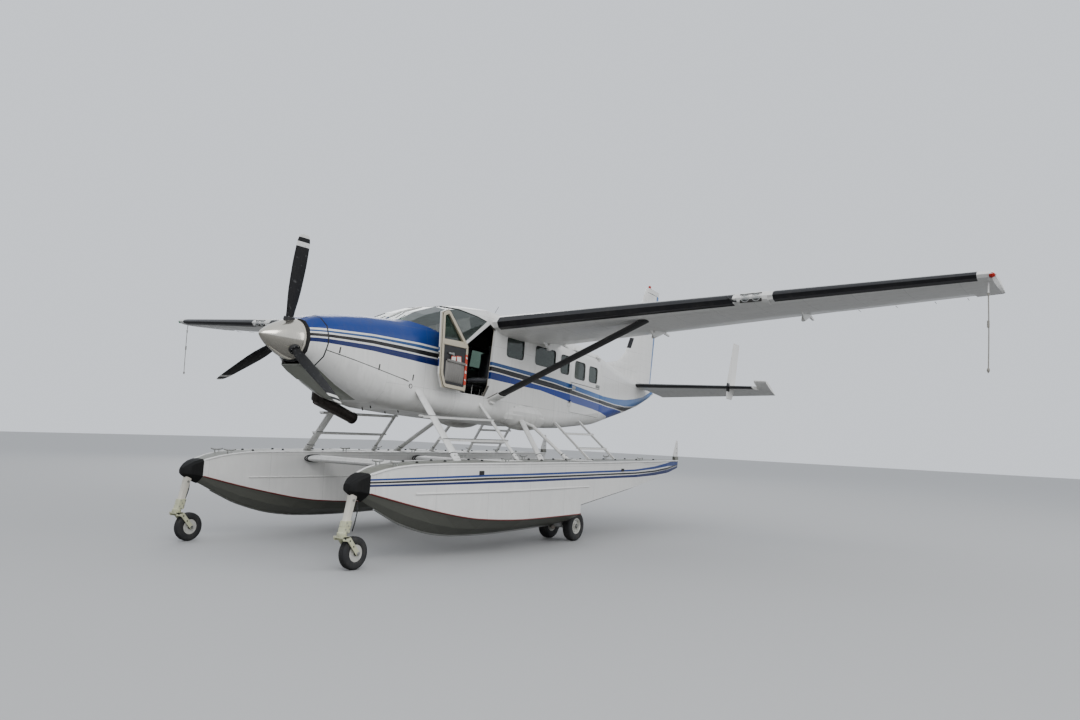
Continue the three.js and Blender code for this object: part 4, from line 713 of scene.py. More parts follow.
skins = {
    "fuselage": finish("fuselagePaint", coats["white"], 0.32, place="air", paint=fuselageCoat, coat=0.1, amount=0.25,
                       form=roundForm, level=0.2),
    "cowl": finish("cowlPaint", coats["white"], 0.3, place="air", paint=cowlCoat, coat=0.12, amount=0.3,
                   form=roundForm, level=0.2),
    "wing": finish("wingPaint", coats["white"], 0.36, place="air", paint=wingCoat, coat=0.05, amount=0.25,
                   level=0.3),
    "tail": finish("tailPaint", coats["white"], 0.36, place="air", paint=tailCoat, coat=0.05,
                   level=0.3),
    "rudder": finish("rudderPaint", coats["white"], 0.38, place="air", paint=rudderCoat, coat=0.2),
    "control": finish("controlPaint", coats["white"], 0.4, place="air", paint=ribbedCoat, coat=0.2, amount=0.25),
    "door": finish("doorPaint", coats["white"], 0.33, place="air", paint=bandsOnly, coat=0.3),
    "floatPort": finish("floatPaintPort", coats["white"], 0.36, place="ground", paint=makeFloatCoat(True), amount=0.16),
    "floatStarboard": finish("floatPaintStarboard", coats["white"], 0.38, place="ground", paint=makeFloatCoat(False),
                             amount=0.16),
    "chineTrim": finish("chineTrim", (0.17, 0.025, 0.02), 0.45, amount=0.5, scale=7.0),
    "strut": finish("strutPaint", coats["white"], 0.38, amount=0.4, scale=5.0),
    "cream": finish("creamPaint", coats["cream"], 0.4, amount=0.3, scale=6.0),
    "beige": finish("doorFrame", coats["beige"], 0.5, amount=0.25, scale=7.0),
    "spinner": finish("spinnerMetal", (0.7, 0.66, 0.58), 0.16, metallic=0.95, amount=0.25, scale=6.0, bump=0.03),
    "blade": finish("bladePaint", (0.006, 0.006, 0.007), 0.55, place="air", paint=bladeCoat, amount=0.15, scale=8.0,
                    level=0.25),
    "boot": finish("bootRubber", (0.013, 0.013, 0.014), 0.55, amount=0.3, scale=6.0, bump=0.15),
    "rubber": finish("tyreRubber", (0.018, 0.018, 0.019), 0.78, dirt=(0.12, 0.11, 0.09), amount=0.55, scale=9.0,
                     bump=0.3),
    "bumper": finish("bumperRubber", (0.006, 0.006, 0.006), 0.7, dirt=(0.05, 0.045, 0.035), amount=0.2, scale=9.0,
                     bump=0.2, level=0.25),
    "clamp": finish("clampPaint", (0.56, 0.56, 0.38), 0.45, amount=0.5, scale=14.0),
    "seal": finish("sealRubber", (0.01, 0.01, 0.011), 0.6, amount=0.2, scale=12.0, bump=0.2),
    "steel": finish("steel", (0.42, 0.42, 0.4), 0.32, metallic=1.0, amount=0.3, scale=12.0),
    "darkMetal": finish("darkMetal", (0.05, 0.048, 0.045), 0.5, metallic=0.8, amount=0.5, scale=9.0, bump=0.15),
    "exhaust": finish("exhaustMetal", (0.07, 0.06, 0.055), 0.45, metallic=0.9, dirt=(0.018, 0.016, 0.015), amount=0.8,
                      scale=6.0, bump=0.2),
    "wheel": finish("wheelPaint", (0.58, 0.57, 0.52), 0.38, metallic=0.2, amount=0.5, scale=14.0),
    "brake": finish("brakeDisc", (0.25, 0.22, 0.19), 0.35, metallic=1.0, dirt=(0.12, 0.05, 0.02), amount=0.7,
                    scale=20.0),
    "lining": finish("cabinLining", (0.42, 0.39, 0.33), 0.7, amount=0.15, scale=7.0, bump=0.1),
    "panel": finish("instrumentPanel", (0.022, 0.022, 0.024), 0.6, amount=0.1, scale=9.0, bump=0.12),
    "dial": finish("dialGlass", (0.004, 0.004, 0.005), 0.08, amount=0.05, coat=0.8),
    "carpet": finish("carpet", (0.035, 0.036, 0.04), 0.95, place="air", paint=clothCoat, amount=0.5, scale=8.0),
    "cloth": finish("seatCloth", (0.1, 0.105, 0.12), 0.85, place="air", paint=clothCoat, amount=0.2, scale=6.0,
                    sheen=0.35),
    "leather": finish("seatLeather", (0.16, 0.155, 0.15), 0.5, amount=0.25, scale=9.0, grain=420.0, bump=0.35,
                      depth=0.0015),
    "pocket": finish("pocketCloth", (0.21, 0.2, 0.185), 0.75, amount=0.3, scale=9.0, grain=300.0, bump=0.2),
    "tread": finish("treadGrip", (0.1, 0.1, 0.095), 0.85, place="ground", paint=treadCoat, amount=0.4, scale=10.0),
    "rope": finish("ropeFibre", (0.27, 0.255, 0.225), 0.9, amount=0.4, scale=30.0, bump=0.4),
    "paper": finish("paper", (0.75, 0.74, 0.7), 0.7, amount=0.1, scale=10.0),
    "redStrap": finish("redStrap", (0.55, 0.05, 0.02), 0.6, amount=0.3, scale=20.0),
    "cabinGlass": glass("cabinGlass", (0.13, 0.2, 0.16), level=0.22),
    "shield": glass("windshieldGlass", (0.3, 0.36, 0.33), level=0.2),
    "lamp": glass("lampGlass", (0.85, 0.88, 0.9), 0.01, 0.95),
    "red": glass("redLens", (0.6, 0.02, 0.01), 0.08, 0.5),
    "green": glass("greenLens", (0.02, 0.35, 0.12), 0.08, 0.5),
}

print("ropes")
ropes = {"top": (4.17, 7.854, 0.988 - 0.0148), "length": 0.95, "bow": 0.005, "diameter": 0.014, "points": 24}


def addRope(hand, side):
    top = air(ropes["top"][0], side * ropes["top"][1], ropes["top"][2])
    line = []
    for i in range(ropes["points"] + 1):
        share = i / ropes["points"]
        line.append(top + Vector((0, side * ropes["bow"] * sin(pi * share), -ropes["length"] * share)))
    curve = bpy.data.curves.new(f"tieRope_{hand}", "CURVE")
    curve.dimensions = "3D"
    curve.bevel_depth = ropes["diameter"] / 2
    curve.bevel_resolution = 4
    curve.use_fill_caps = True
    spline = curve.splines.new("POLY")
    spline.points.add(len(line) - 1)
    for point, place in zip(spline.points, line):
        point.co = (*place, 1)
    curve.materials.append(skins["rope"])
    piece = newObject(f"tieRope_{hand}", curve)
    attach(piece, "airframe")
    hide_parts(f"rope_{hand}")
    whipping = tubePart([top + Vector((0.011 * cos(t), 0.011 * sin(t), -0.33 - 0.0009 * t))
                         for t in range(90)], 0.0045, 6)
    end = line[-1]
    knots = [lathePart([(0.0, 0.004), (0.012, 0.014), (0.03, 0.018), (0.05, 0.013), (0.06, 0.004)],
                       end + Vector((0, 0, 0.065)), Vector((0, 0, -1)), 14),
             lathePart([(0.0, 0.005), (0.01, 0.011), (0.03, 0.011), (0.045, 0.004)], top + Vector((0, 0, 0.002)),
                       Vector((0, 0, -1)), 12)]
    knot = addPiece(f"ropeKnots_{hand}", [whipping, *knots], "rope", 60)


onBothSides(addRope)

print("spinner and propeller")
propeller = {
    "outline": [(0.0, 0.0), (0.004, 0.012), (0.02, 0.033), (0.06, 0.069), (0.1, 0.098), (0.14, 0.125), (0.19, 0.155),
                (0.25, 0.185), (0.31, 0.213), (0.36, 0.236), (0.44, 0.263), (0.49, 0.276), (0.505, 0.278)],
    "blades": [(0.1, 0.104, 0.1, 105), (0.262, 0.112, 0.092, 105), (0.38, 0.165, 0.06, 102), (0.51, 0.205, 0.044, 98),
               (0.65, 0.225, 0.036, 94), (0.82, 0.227, 0.028, 90), (0.99, 0.225, 0.022, 86), (1.15, 0.212, 0.017, 83.5),
               (1.29, 0.195, 0.014, 81), (1.34, 0.172, 0.011, 80.4), (1.378, 0.142, 0.009, 80),
               (1.393, 0.112, 0.007, 80), (1.4, 0.066, 0.004, 80)],
    "at": 0.431, "first": radians(6.8),
}


def bladePlace(turn, along, side, out):
    # out from the shaft at one blade's turn about it
    c, s = cos(turn), sin(turn)
    return air(propeller["at"] + along, side * c - out * s, side * s + out * c)


def bladeRing(turn, out, chord, thick, pitch, count=20):
    lean = radians(pitch)
    ring = []
    for t in turns(count):
        across, through = cos(t) * chord / 2, sin(t) * thick / 2
        ring.append(bladePlace(turn, through * cos(lean) + across * sin(lean),
                               through * sin(lean) - across * cos(lean), out))
    return ring


def addPropeller():
    starts = [propeller["first"] + i * tau / 3 for i in range(3)]
    blades = [loftPart([bladeRing(turn, *row) for row in propeller["blades"]]) for turn in starts]
    hub = lathePart([(0.33, 0.08), (0.335, 0.105), (0.52, 0.105), (0.525, 0.08)], air(0, 0, 0), aft, 32)
    whole = addPiece("propellerBlades", [*blades, hub], "blade", 40, body="propeller")
    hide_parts("propeller")
    outer = propeller["outline"]
    inner = [(x, r - 0.006) for x, r in reversed(outer) if r > 0.05]
    shell = lathePart(outer + [(0.505, 0.2), (0.498, 0.2)], air(0, 0, 0), aft, 72)
    cover = addPiece("spinnerShell", [shell], "spinner", body="propeller")
    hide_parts("spinner")
    cuffs, clamps = [], []
    for turn in starts:
        rings = []
        for out, width in ((0.215, 1.0), (0.25, 1.0), (0.275, 0.98), (0.283, 0.9)):
            rings.append([bladePlace(turn, cos(t) * 0.079 * width, sin(t) * 0.074 * width, out) for t in turns(28)])
        cuffs.append(loftPart(rings))
        for t in turns(8):
            foot, head = (bladePlace(turn, cos(t) * 0.066, sin(t) * 0.06, out) for out in (0.27, 0.289))
            clamps.append(rodPart(foot, head, 0.0065, 6))
    addPiece("bladeCuffs", cuffs, "seal", body="propeller")
    addPiece("bladeClamps", clamps, "steel", body="propeller")
    screws = []
    for t in turns(24):
        at = air(0.492, cos(t) * 0.2725, sin(t) * 0.2725)
        out = air(0.492, cos(t) * 0.2765, sin(t) * 0.2765)
        screws.append(rodPart(at, out, 0.005, 8))
    addPiece("spinnerScrews", screws, "steel", body="propeller")


addPropeller()

print("nose details")
skinHalf = sections["half"] + [(11.21, 0.022)]
skinTop = sections["crown"][:14]
skinLow = sections["keel"][:14]


def onSide(along, rise, side, proud=0.0):
    return air(along, side * (between(skinHalf, along) + proud), rise)


def platePart(along, rise, length, height, side, proud=0.003, lean=0.0, depth=0.02):
    c, s = cos(lean), sin(lean)
    rings = []
    for out in (-depth, proud):
        ring = []
        for i, j in ((-1, -1), (1, -1), (1, 1), (-1, 1)):
            x, z = i * length / 2, j * height / 2
            ring.append(onSide(along + x * c - z * s, rise + x * s + z * c, side, out))
        rings.append(ring)
    return loftPart(rings)


def noseMouth(half, top, low, corner, steps=8):
    # the cowl's front opening: a box of widths and heights with large round corners
    line = []
    for y, w, start in ((half - corner, top - corner, 0), (-half + corner, top - corner, 90),
                        (-half + corner, low + corner, 180), (half - corner, low + corner, 270)):
        for i in range(steps + 1):
            t = radians(start + 90 * i / steps)
            line.append((y + corner * cos(t), w + corner * sin(t)))
    return line


mouthLine = noseMouth(0.335, 0.282, -0.292, 0.27)


def addNose():
    latches, plates = [], []
    for side in hands.values():
        for along, rise in ((0.911, -0.094), (1.547, -0.234), (2.153, -0.302)):
            latches.append(platePart(along, rise, 0.02, 0.085, side, 0.004, -0.12))
            plates.append(platePart(along, rise, 0.032, 0.1, side, 0.002, -0.12))
        latches.append(platePart(2.02, -0.355, 0.11, 0.012, side, 0.004, -0.25))
    addPiece("cowlLatches", latches, "darkMetal")
    addPiece("cowlLatchPlates", plates, "cowl")
    vents = [lathePart([(-0.03, 0.034), (0.004, 0.034), (0.004, 0.026), (-0.02, 0.022)], onSide(2.121, -0.43, side),
                       Vector((0, side, 0)), 24) for side in hands.values()]
    addPiece("cowlDrains", vents, "darkMetal")
    # the throat behind the spinner, in dark metal as painted shade, and the inlet in the chin
    throat = lathePart([(0.53, 0.236), (0.53, 0.12), (0.62, 0.12), (0.62, 0.236)], air(0, 0, 0), aft, 40)
    addPiece("spinnerThroat", [throat], "darkMetal")
    collar = lathePart([(0.5225, 0.24), (0.5225, 0.266), (0.528, 0.27), (0.549, 0.27), (0.552, 0.266), (0.552, 0.24)],
                       air(0, 0, 0), aft, 72)
    addPiece("cowlCollar", [collar], "cream")
    # a black ring in the gap in front of the cowl: painted shadow
    gap = [[air(along, y * size, w * size) for y, w in mouthLine]
           for along, size in ((0.553, 0.985), (0.5595, 0.985), (0.5595, 0.8), (0.553, 0.8))]
    addPiece("cowlShadowGap", [loftPart(gap, closed=True)], "seal")
    fasteners = []
    for i in range(26):
        t = pi * (0.06 + 0.88 * i / 25)
        spot = 0.77
        y, z = cos(t) * between(skinHalf, spot) * 0.985, 0.08 + sin(t) * (between(skinTop, spot) - 0.08)
        if abs(y) < 0.18:
            fasteners.append(rodPart(air(spot, y, z - 0.01), air(spot, y, z + 0.002), 0.006, 8))
    addPiece("cowlScrews", fasteners, "steel")
    # the exhaust's rolled lip and the drain tubes under the belly
    start, end = air(1.52, 0.5, -0.7), air(2.35, 0.6, -0.905)
    run = (end - start).normalized()
    lip = lathePart([(-0.03, 0.0865), (-0.03, 0.091), (0.004, 0.091), (0.004, 0.074), (-0.08, 0.07)], end, run, 32,
                    capped=False)
    hole = lathePart([(0.001, 0.0001), (0.001, 0.074)], end, run, 32)
    addPiece("exhaustLip", [lip], "exhaust")
    addPiece("exhaustMouth", [hole], "seal")
    drains = []
    for along, across, length in ((1.9, -0.18, 0.035), (2.02, 0.1, 0.05), (2.35, -0.3, 0.03), (2.62, 0.22, 0.03),
                                  (3.1, -0.12, 0.03)):
        low = between(skinLow, along)
        drains.append(rodPart(air(along, across, low + 0.03), air(along + 0.03, across, low - length), 0.009, 10))
    addPiece("bellyDrains", drains, "darkMetal")


addNose()

print("port crew door")
crewDoor = {"hinge": (3.128, 0.797 + 0.04), "open": radians(172), "skin": 0.045}


def openDoorCoat(tree, where, base):
    # the bands that the open door's outer face shows when it is shut, the rest is its beige frame
    c, s = cos(crewDoor["open"]), sin(crewDoor["open"])
    ahead = minus(where["Along"], crewDoor["hinge"][0])
    out = plus(where["Across"], crewDoor["hinge"][1])
    along = plus(crewDoor["hinge"][0], minus(times(ahead, c), times(out, s)))
    depth = plus(minus(plus(times(ahead, s), times(out, c)), crewDoor["hinge"][1]), curveLine(along, sections["half"]))
    shut = fuselagePaint(tree, {**where, "Along": along}, (*coats["white"], 1))[0]
    return mixed(below(depth, 0.02), base, shut), None


skins["openDoor"] = finish("openDoorPaint", coats["beige"], 0.4, place="air", paint=openDoorCoat, amount=0.25,
                           scale=5.0)


def doorPlace(u, depth, w, side):
    # a point of a crew door: station, depth inside the skin and height, at the door's drawn place
    y = side * (between(skinHalf, u) - depth)
    if side > 0:
        return air(u, y, w)
    hinge = crewDoor["hinge"]
    x, across = u - hinge[0], y + hinge[1]
    c, s = cos(-crewDoor["open"]), sin(-crewDoor["open"])
    return air(hinge[0] + x * c - across * s, -hinge[1] + x * s + across * c, w)


def outlineGrow(outline, grow):
    # an outline moved outward by grow along its corners
    area = sum(outline[i][0] * outline[(i + 1) % len(outline)][1] - outline[(i + 1) % len(outline)][0] * outline[i][1]
               for i in range(len(outline)))
    turn = 1 if area > 0 else -1
    grown = []
    for i in range(len(outline)):
        a, b, c = (Vector(outline[(i + k) % len(outline)]) for k in (-1, 0, 1))
        first, second = (b - a).normalized(), (c - b).normalized()
        out = [Vector((d.y, -d.x)) * turn for d in (first, second)]
        grown.append(tuple(b + (out[0] + out[1]) * (grow / max(0.35, 1 + out[0].dot(out[1])))))
    return grown


def roundCorners(outline, radius, steps=4):
    rounded = []
    for i in range(len(outline)):
        a, b, c = (Vector(outline[(i + k) % len(outline)]) for k in (-1, 0, 1))
        reach = min(radius, 0.45 * (a - b).length, 0.45 * (c - b).length)
        start, end = b + (a - b).normalized() * reach, b + (c - b).normalized() * reach
        for k in range(steps + 1):
            t = k / steps
            rounded.append(tuple(start * (1 - t) ** 2 + b * 2 * t * (1 - t) + end * t ** 2))
    return rounded


def fine(outline, step=0.12):
    # an outline with points added so that it follows a curved skin
    line = []
    for i in range(len(outline)):
        a, b = Vector(outline[i]), Vector(outline[(i + 1) % len(outline)])
        count = max(1, int((b - a).length / step))
        line += [tuple(a.lerp(b, k / count)) for k in range(count)]
    return line


def bandPart(outline, inner, depths, place):
    # a closed band between an outline and one inset by inner, from one depth to another
    outer = fine(roundCorners(outline, 0.05))
    inset = outlineGrow(outer, -inner)
    rings = [[place(u, d, w) for u, w in line] for line, d in
             ((outer, depths[0]), (inset, depths[0]), (inset, depths[1]), (outer, depths[1]))]
    return loftPart(rings, closed=True)


def slabPart(outline, depths, place, corner=0.04):
    line = fine(roundCorners(outline, corner))
    return loftPart([[place(u, d, w) for u, w in line] for d in depths])


doorOutline = [(3.15, -0.4), (3.75, -0.4), (3.86, -0.215), (3.925, 0.69), (3.76, 0.76), (3.16, 0.305)]
doorWindow = [(3.29, 0.335), (3.85, 0.305), (3.862, 0.64), (3.752, 0.69)]


def addDoorLining(hand, side):
    place = lambda u, d, w: doorPlace(u, d, w, side)
    body = f"crew_door_{hand}"
    skin = crewDoor["skin"]
    rim = bandPart(outlineGrow(doorOutline, -0.012), 0.05, (skin + 0.001, skin + 0.014), place)
    sill = slabPart([(3.17, 0.255), (3.88, 0.225), (3.885, 0.3), (3.235, 0.315)], (skin + 0.002, skin + 0.02), place,
                    0.02)
    addPiece(f"doorFrame_{hand}", [rim, sill], "beige", bevel=0.002, body=body)
    panel = slabPart([(3.21, -0.34), (3.72, -0.34), (3.81, -0.19), (3.855, 0.22), (3.205, 0.25)],
                     (skin + 0.001, skin + 0.012), place, 0.05)
    addPiece(f"doorPanel_{hand}", [panel], "panel", bevel=0.003, body=body)
    pocketRings = []
    folds = 46
    for share, depth in ((0.0, 0.012), (0.06, 0.03), (0.45, 0.052), (0.9, 0.046), (1.0, 0.04)):
        ring = []
        for i in range(folds + 1):
            t = i / folds
            u = 3.26 + 0.49 * t
            pleat = 0.006 * sin(t * pi * 16) * (1 - abs(2 * share - 1) ** 2 * 0.6)
            edge = sin(pi * min(1, max(0, t))) ** 0.25
            ring.append(place(u, skin + 0.012 + (depth - 0.012) * edge + pleat * edge, -0.3 + share * 0.3))
        pocketRings.append(ring)
    back = [[place(3.26 + 0.49 * i / folds, skin + 0.006, -0.3 + share * 0.3) for i in range(folds + 1)]
            for share in (1.0, 0.0)]
    rows = pocketRings + back
    width = folds + 1
    points = [p for row in rows for p in row]
    faces = []
    for r in range(len(rows)):
        a, b = r * width, ((r + 1) % len(rows)) * width
        faces += [(a + i, a + i + 1, b + i + 1, b + i) for i in range(folds)]
    faces += [tuple(r * width for r in range(len(rows)))[::-1], tuple(r * width + folds for r in range(len(rows)))]
    pocket = addPiece(f"doorPocket_{hand}", [(points, faces)], "pocket", 70, body=body)
    band = slabPart(rectangle(3.26, -0.012, 3.75, 0.02), (skin + 0.03, skin + 0.056), place, 0.01)
    addPiece(f"pocketHem_{hand}", [band], "pocket", bevel=0.002, body=body)
    papers, edges = [], []
    for at, lean, tall, depth in ((3.4, 0.04, 0.09, 0.03), (3.6, -0.02, 0.07, 0.034)):
        for grow, kept, more in ((0.0, papers, 0.0015), (0.012, edges, 0.0005)):
            sheet = [(at - 0.055 - grow, -0.1), (at + 0.055 + grow, -0.1), (at + 0.055 + lean + grow, tall + grow),
                     (at - 0.055 + lean - grow, tall + 0.01 + grow)]
            kept.append(slabPart(sheet, (skin + depth + 0.001 * (grow == 0), skin + depth + 0.001 + more), place,
                                 0.004))
    addPiece(f"doorPapers_{hand}", papers, "paper", body=body)
    addPiece(f"doorPaperEdges_{hand}", edges, "redStrap", body=body)
    strap = slabPart([(3.178, -0.3), (3.232, -0.3), (3.236, 0.16), (3.182, 0.16)], (skin + 0.015, skin + 0.021), place,
                     0.012)
    addPiece(f"doorStrap_{hand}", [strap], "redStrap", body=body)
    tags = []
    for rise, tall in ((-0.24, 0.03), (-0.13, 0.05), (-0.01, 0.03), (0.09, 0.04)):
        tags.append(slabPart([(3.188, rise), (3.226, rise + 0.01), (3.226, rise + tall), (3.19, rise + tall - 0.01)],
                             (skin + 0.0205, skin + 0.023), place, 0.006))
    addPiece(f"strapTags_{hand}", tags, "paper", body=body)
    seal = bandPart(outlineGrow(doorOutline, -0.006), 0.014, (skin - 0.004, skin + 0.006), place)
    addPiece(f"doorSeal_{hand}", [seal], "seal", body=body)
    frame = bandPart(outlineGrow(doorWindow, 0.028), 0.03, (-0.003, 0.006), place)
    lining = bandPart(outlineGrow(doorWindow, 0.03), 0.03, (skin, skin + 0.008), place)
    addPiece(f"doorWindowFrame_{hand}", [frame, lining], "beige", body=body)
    gasket = bandPart(outlineGrow(doorWindow, 0.006), 0.012, (-0.0035, 0.008), place)
    addPiece(f"doorWindowSeal_{hand}", [gasket], "seal", body=body)
    handle = [slabPart(rectangle(3.62, 0.02, 3.77, 0.05), (-0.012, 0.004), place, 0.012),
              slabPart(rectangle(3.6, 0.0, 3.79, 0.07), (-0.003, 0.004), place, 0.02)]
    addPiece(f"doorHandle_{hand}", handle, "steel", bevel=0.002, body=body)
    inner = [slabPart(rectangle(3.58, 0.1, 3.72, 0.125), (skin + 0.02, skin + 0.04), place, 0.01),
             slabPart(rectangle(3.56, 0.09, 3.6, 0.135), (skin + 0.01, skin + 0.03), place, 0.01)]
    addPiece(f"doorLatch_{hand}", inner, "steel", bevel=0.002, body=body)


onBothSides(addDoorLining)

print("wheels")
wheels = {
    "nose": {"at": 0.3, "radius": 0.195, "half": 0.0575, "rim": 0.098, "grooves": 3, "bolts": 5, "offsets": [0.0]},
    "main": {"at": 4.88, "radius": 0.234, "half": 0.075, "rim": 0.12, "grooves": 4, "bolts": 8,
             "offsets": [-0.23, 0.23]},
    "floatY": 1.61, "axle": 0.02,
}


def tyrePart(wheel, centre):
    half, radius, rim = wheel["half"], wheel["radius"], wheel["rim"]
    side = [(half * 0.74, rim - 0.001), (half * 0.8, rim + 0.004), (half * 0.92, rim + 0.014),
            (half * 0.985, rim + 0.03), (half, radius - half * 0.75), (half * 0.96, radius - half * 0.42),
            (half * 0.84, radius - half * 0.2), (half * 0.66, radius - half * 0.07)]
    crown = []
    grooves = wheel["grooves"]
    span = half * 0.56
    for i in range(grooves):
        middle = -span + 2 * span * (i + 0.5) / grooves
        for step, depth in ((-0.006, 0.0), (-0.003, 0.006), (0.003, 0.006), (0.006, 0.0)):
            at = middle + step
            crown.append((at, radius - half * 0.042 * (at / span) ** 2 - depth))
    profile = [(-a, r) for a, r in side] + crown + list(reversed(side))
    profile += [(profile[-1][0] * 0.9, rim - 0.004), (profile[0][0] * 0.9, rim - 0.004)]
    rings = [circle(centre + Vector((0, a, 0)), sideward, r, 72) for a, r in profile]
    return loftPart(rings, closed=True)


def rimParts(wheel, centre, out):
    rim = wheel["rim"] - 0.001
    half = wheel["half"]
    profile = [(-half * 0.78, rim), (half * 0.7, rim), (half * 0.8, rim + 0.004), (half * 0.82, rim - 0.004),
               (half * 0.66, rim - 0.012), (half * 0.4, rim - 0.02), (half * 0.3, rim * 0.62),
               (half * 0.42, rim * 0.46), (half * 0.74, rim * 0.4), (half * 0.8, rim * 0.34), (half * 0.8, 0.001)]
    body = loftPart([circle(centre + Vector((0, out * a, 0)), sideward, r, 64) for a, r in profile])
    bolts, ports = [], []
    for i in range(wheel["bolts"]):
        t = tau * i / wheel["bolts"]
        spot = centre + Vector((cos(t) * rim * 0.74, out * half * 0.3, sin(t) * rim * 0.74))
        bolts.append(rodPart(spot, spot + Vector((0, out * half * 0.22, 0)), 0.008, 6))
        t += pi / wheel["bolts"]
        spot = centre + Vector((cos(t) * rim * 0.72, out * half * 0.325, sin(t) * rim * 0.72))
        ports.append(rodPart(spot - Vector((0, out * 0.002, 0)), spot + Vector((0, out * 0.004, 0)), rim * 0.13, 16))
    cap = loftPart([circle(centre + Vector((0, out * a, 0)), sideward, r, 24)
                    for a, r in ((half * 0.78, 0.024), (half * 0.96, 0.024), (half * 1.02, 0.02),
                                 (half * 1.03, 0.004))])
    return body, bolts, ports, cap


def addWheels():
    for hand, side in hands.items():
        for kind in ("nose", "main"):
            wheel = wheels[kind]
            for offset in wheel["offsets"]:
                place = "" if kind == "nose" else ("_outer" if offset > 0 else "_inner")
                body = f"{kind}_wheel{'s' if kind == 'main' else ''}_{hand}"
                centre = ground(wheel["at"], side * (wheels["floatY"] + offset), wheel["radius"])
                tyre = addPiece(f"tyre_{kind}_{hand}{place}", [tyrePart(wheel, centre)], "rubber", 40,
                                body=body)
                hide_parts(f"{kind}_tyre_{hand}{place}")
                for out in ((1, -1) if kind == "nose" else (side if offset > 0 else -side,)):
                    face = f"{place}_{'left' if out < 0 else 'right'}"
                    rimBody, bolts, ports, cap = rimParts(wheel, centre, out)
                    addPiece(f"rimFace_{kind}_{hand}{face}", [rimBody], "wheel", 35, body=body)
                    addPiece(f"rimBolts_{kind}_{hand}{face}", [*bolts, cap], "steel", 35, body=body)
                    addPiece(f"rimPorts_{kind}_{hand}{face}", ports, "seal", 35, body=body)
                if kind == "main":
                    inward = -1 if (side * offset) > 0 else 1
                    disc = centre + Vector((0, inward * 0.078, 0))
                    addPiece(f"brakeDisc_{hand}{place}", [rodPart(disc, disc + Vector((0, inward * 0.008, 0)), 0.088,
                                                                  48)], "brake", 35, body=body)


addWheels()

print("gear")
gear = {"noseTop": (0.25, 0.93), "noseFoot": (0.128, 0.43), "width": 0.092, "depth": 0.08, "clampFrom": 0.7}
forkArm = [(0.052, 0.404), (0.15, 0.404), (0.172, 0.394), (0.19, 0.372), (0.322, 0.215), (0.329, 0.198), (0.325, 0.18),
           (0.311, 0.168), (0.294, 0.167), (0.278, 0.177), (0.15, 0.328), (0.132, 0.346), (0.1, 0.354), (0.06, 0.356)]


def legPlace(y, share, fore, out):
    # a point beside the slanted nose leg: share down it, metres ahead of its middle and metres outboard
    top, foot = gear["noseTop"], gear["noseFoot"]
    return ground(top[0] + (foot[0] - top[0]) * share - fore, y + out, top[1] + (foot[1] - top[1]) * share)


def legRing(y, share, grow):
    # a round-cornered ring about the nose leg, grown outward
    ring = []
    for i in range(24):
        c, s = cos(tau * i / 24), sin(tau * i / 24)
        ring.append(legPlace(y, share, copysign(abs(c) ** 0.4, c) * (gear["width"] / 2 + grow),
                             copysign(abs(s) ** 0.4, s) * (gear["depth"] / 2 + grow)))
    return ring


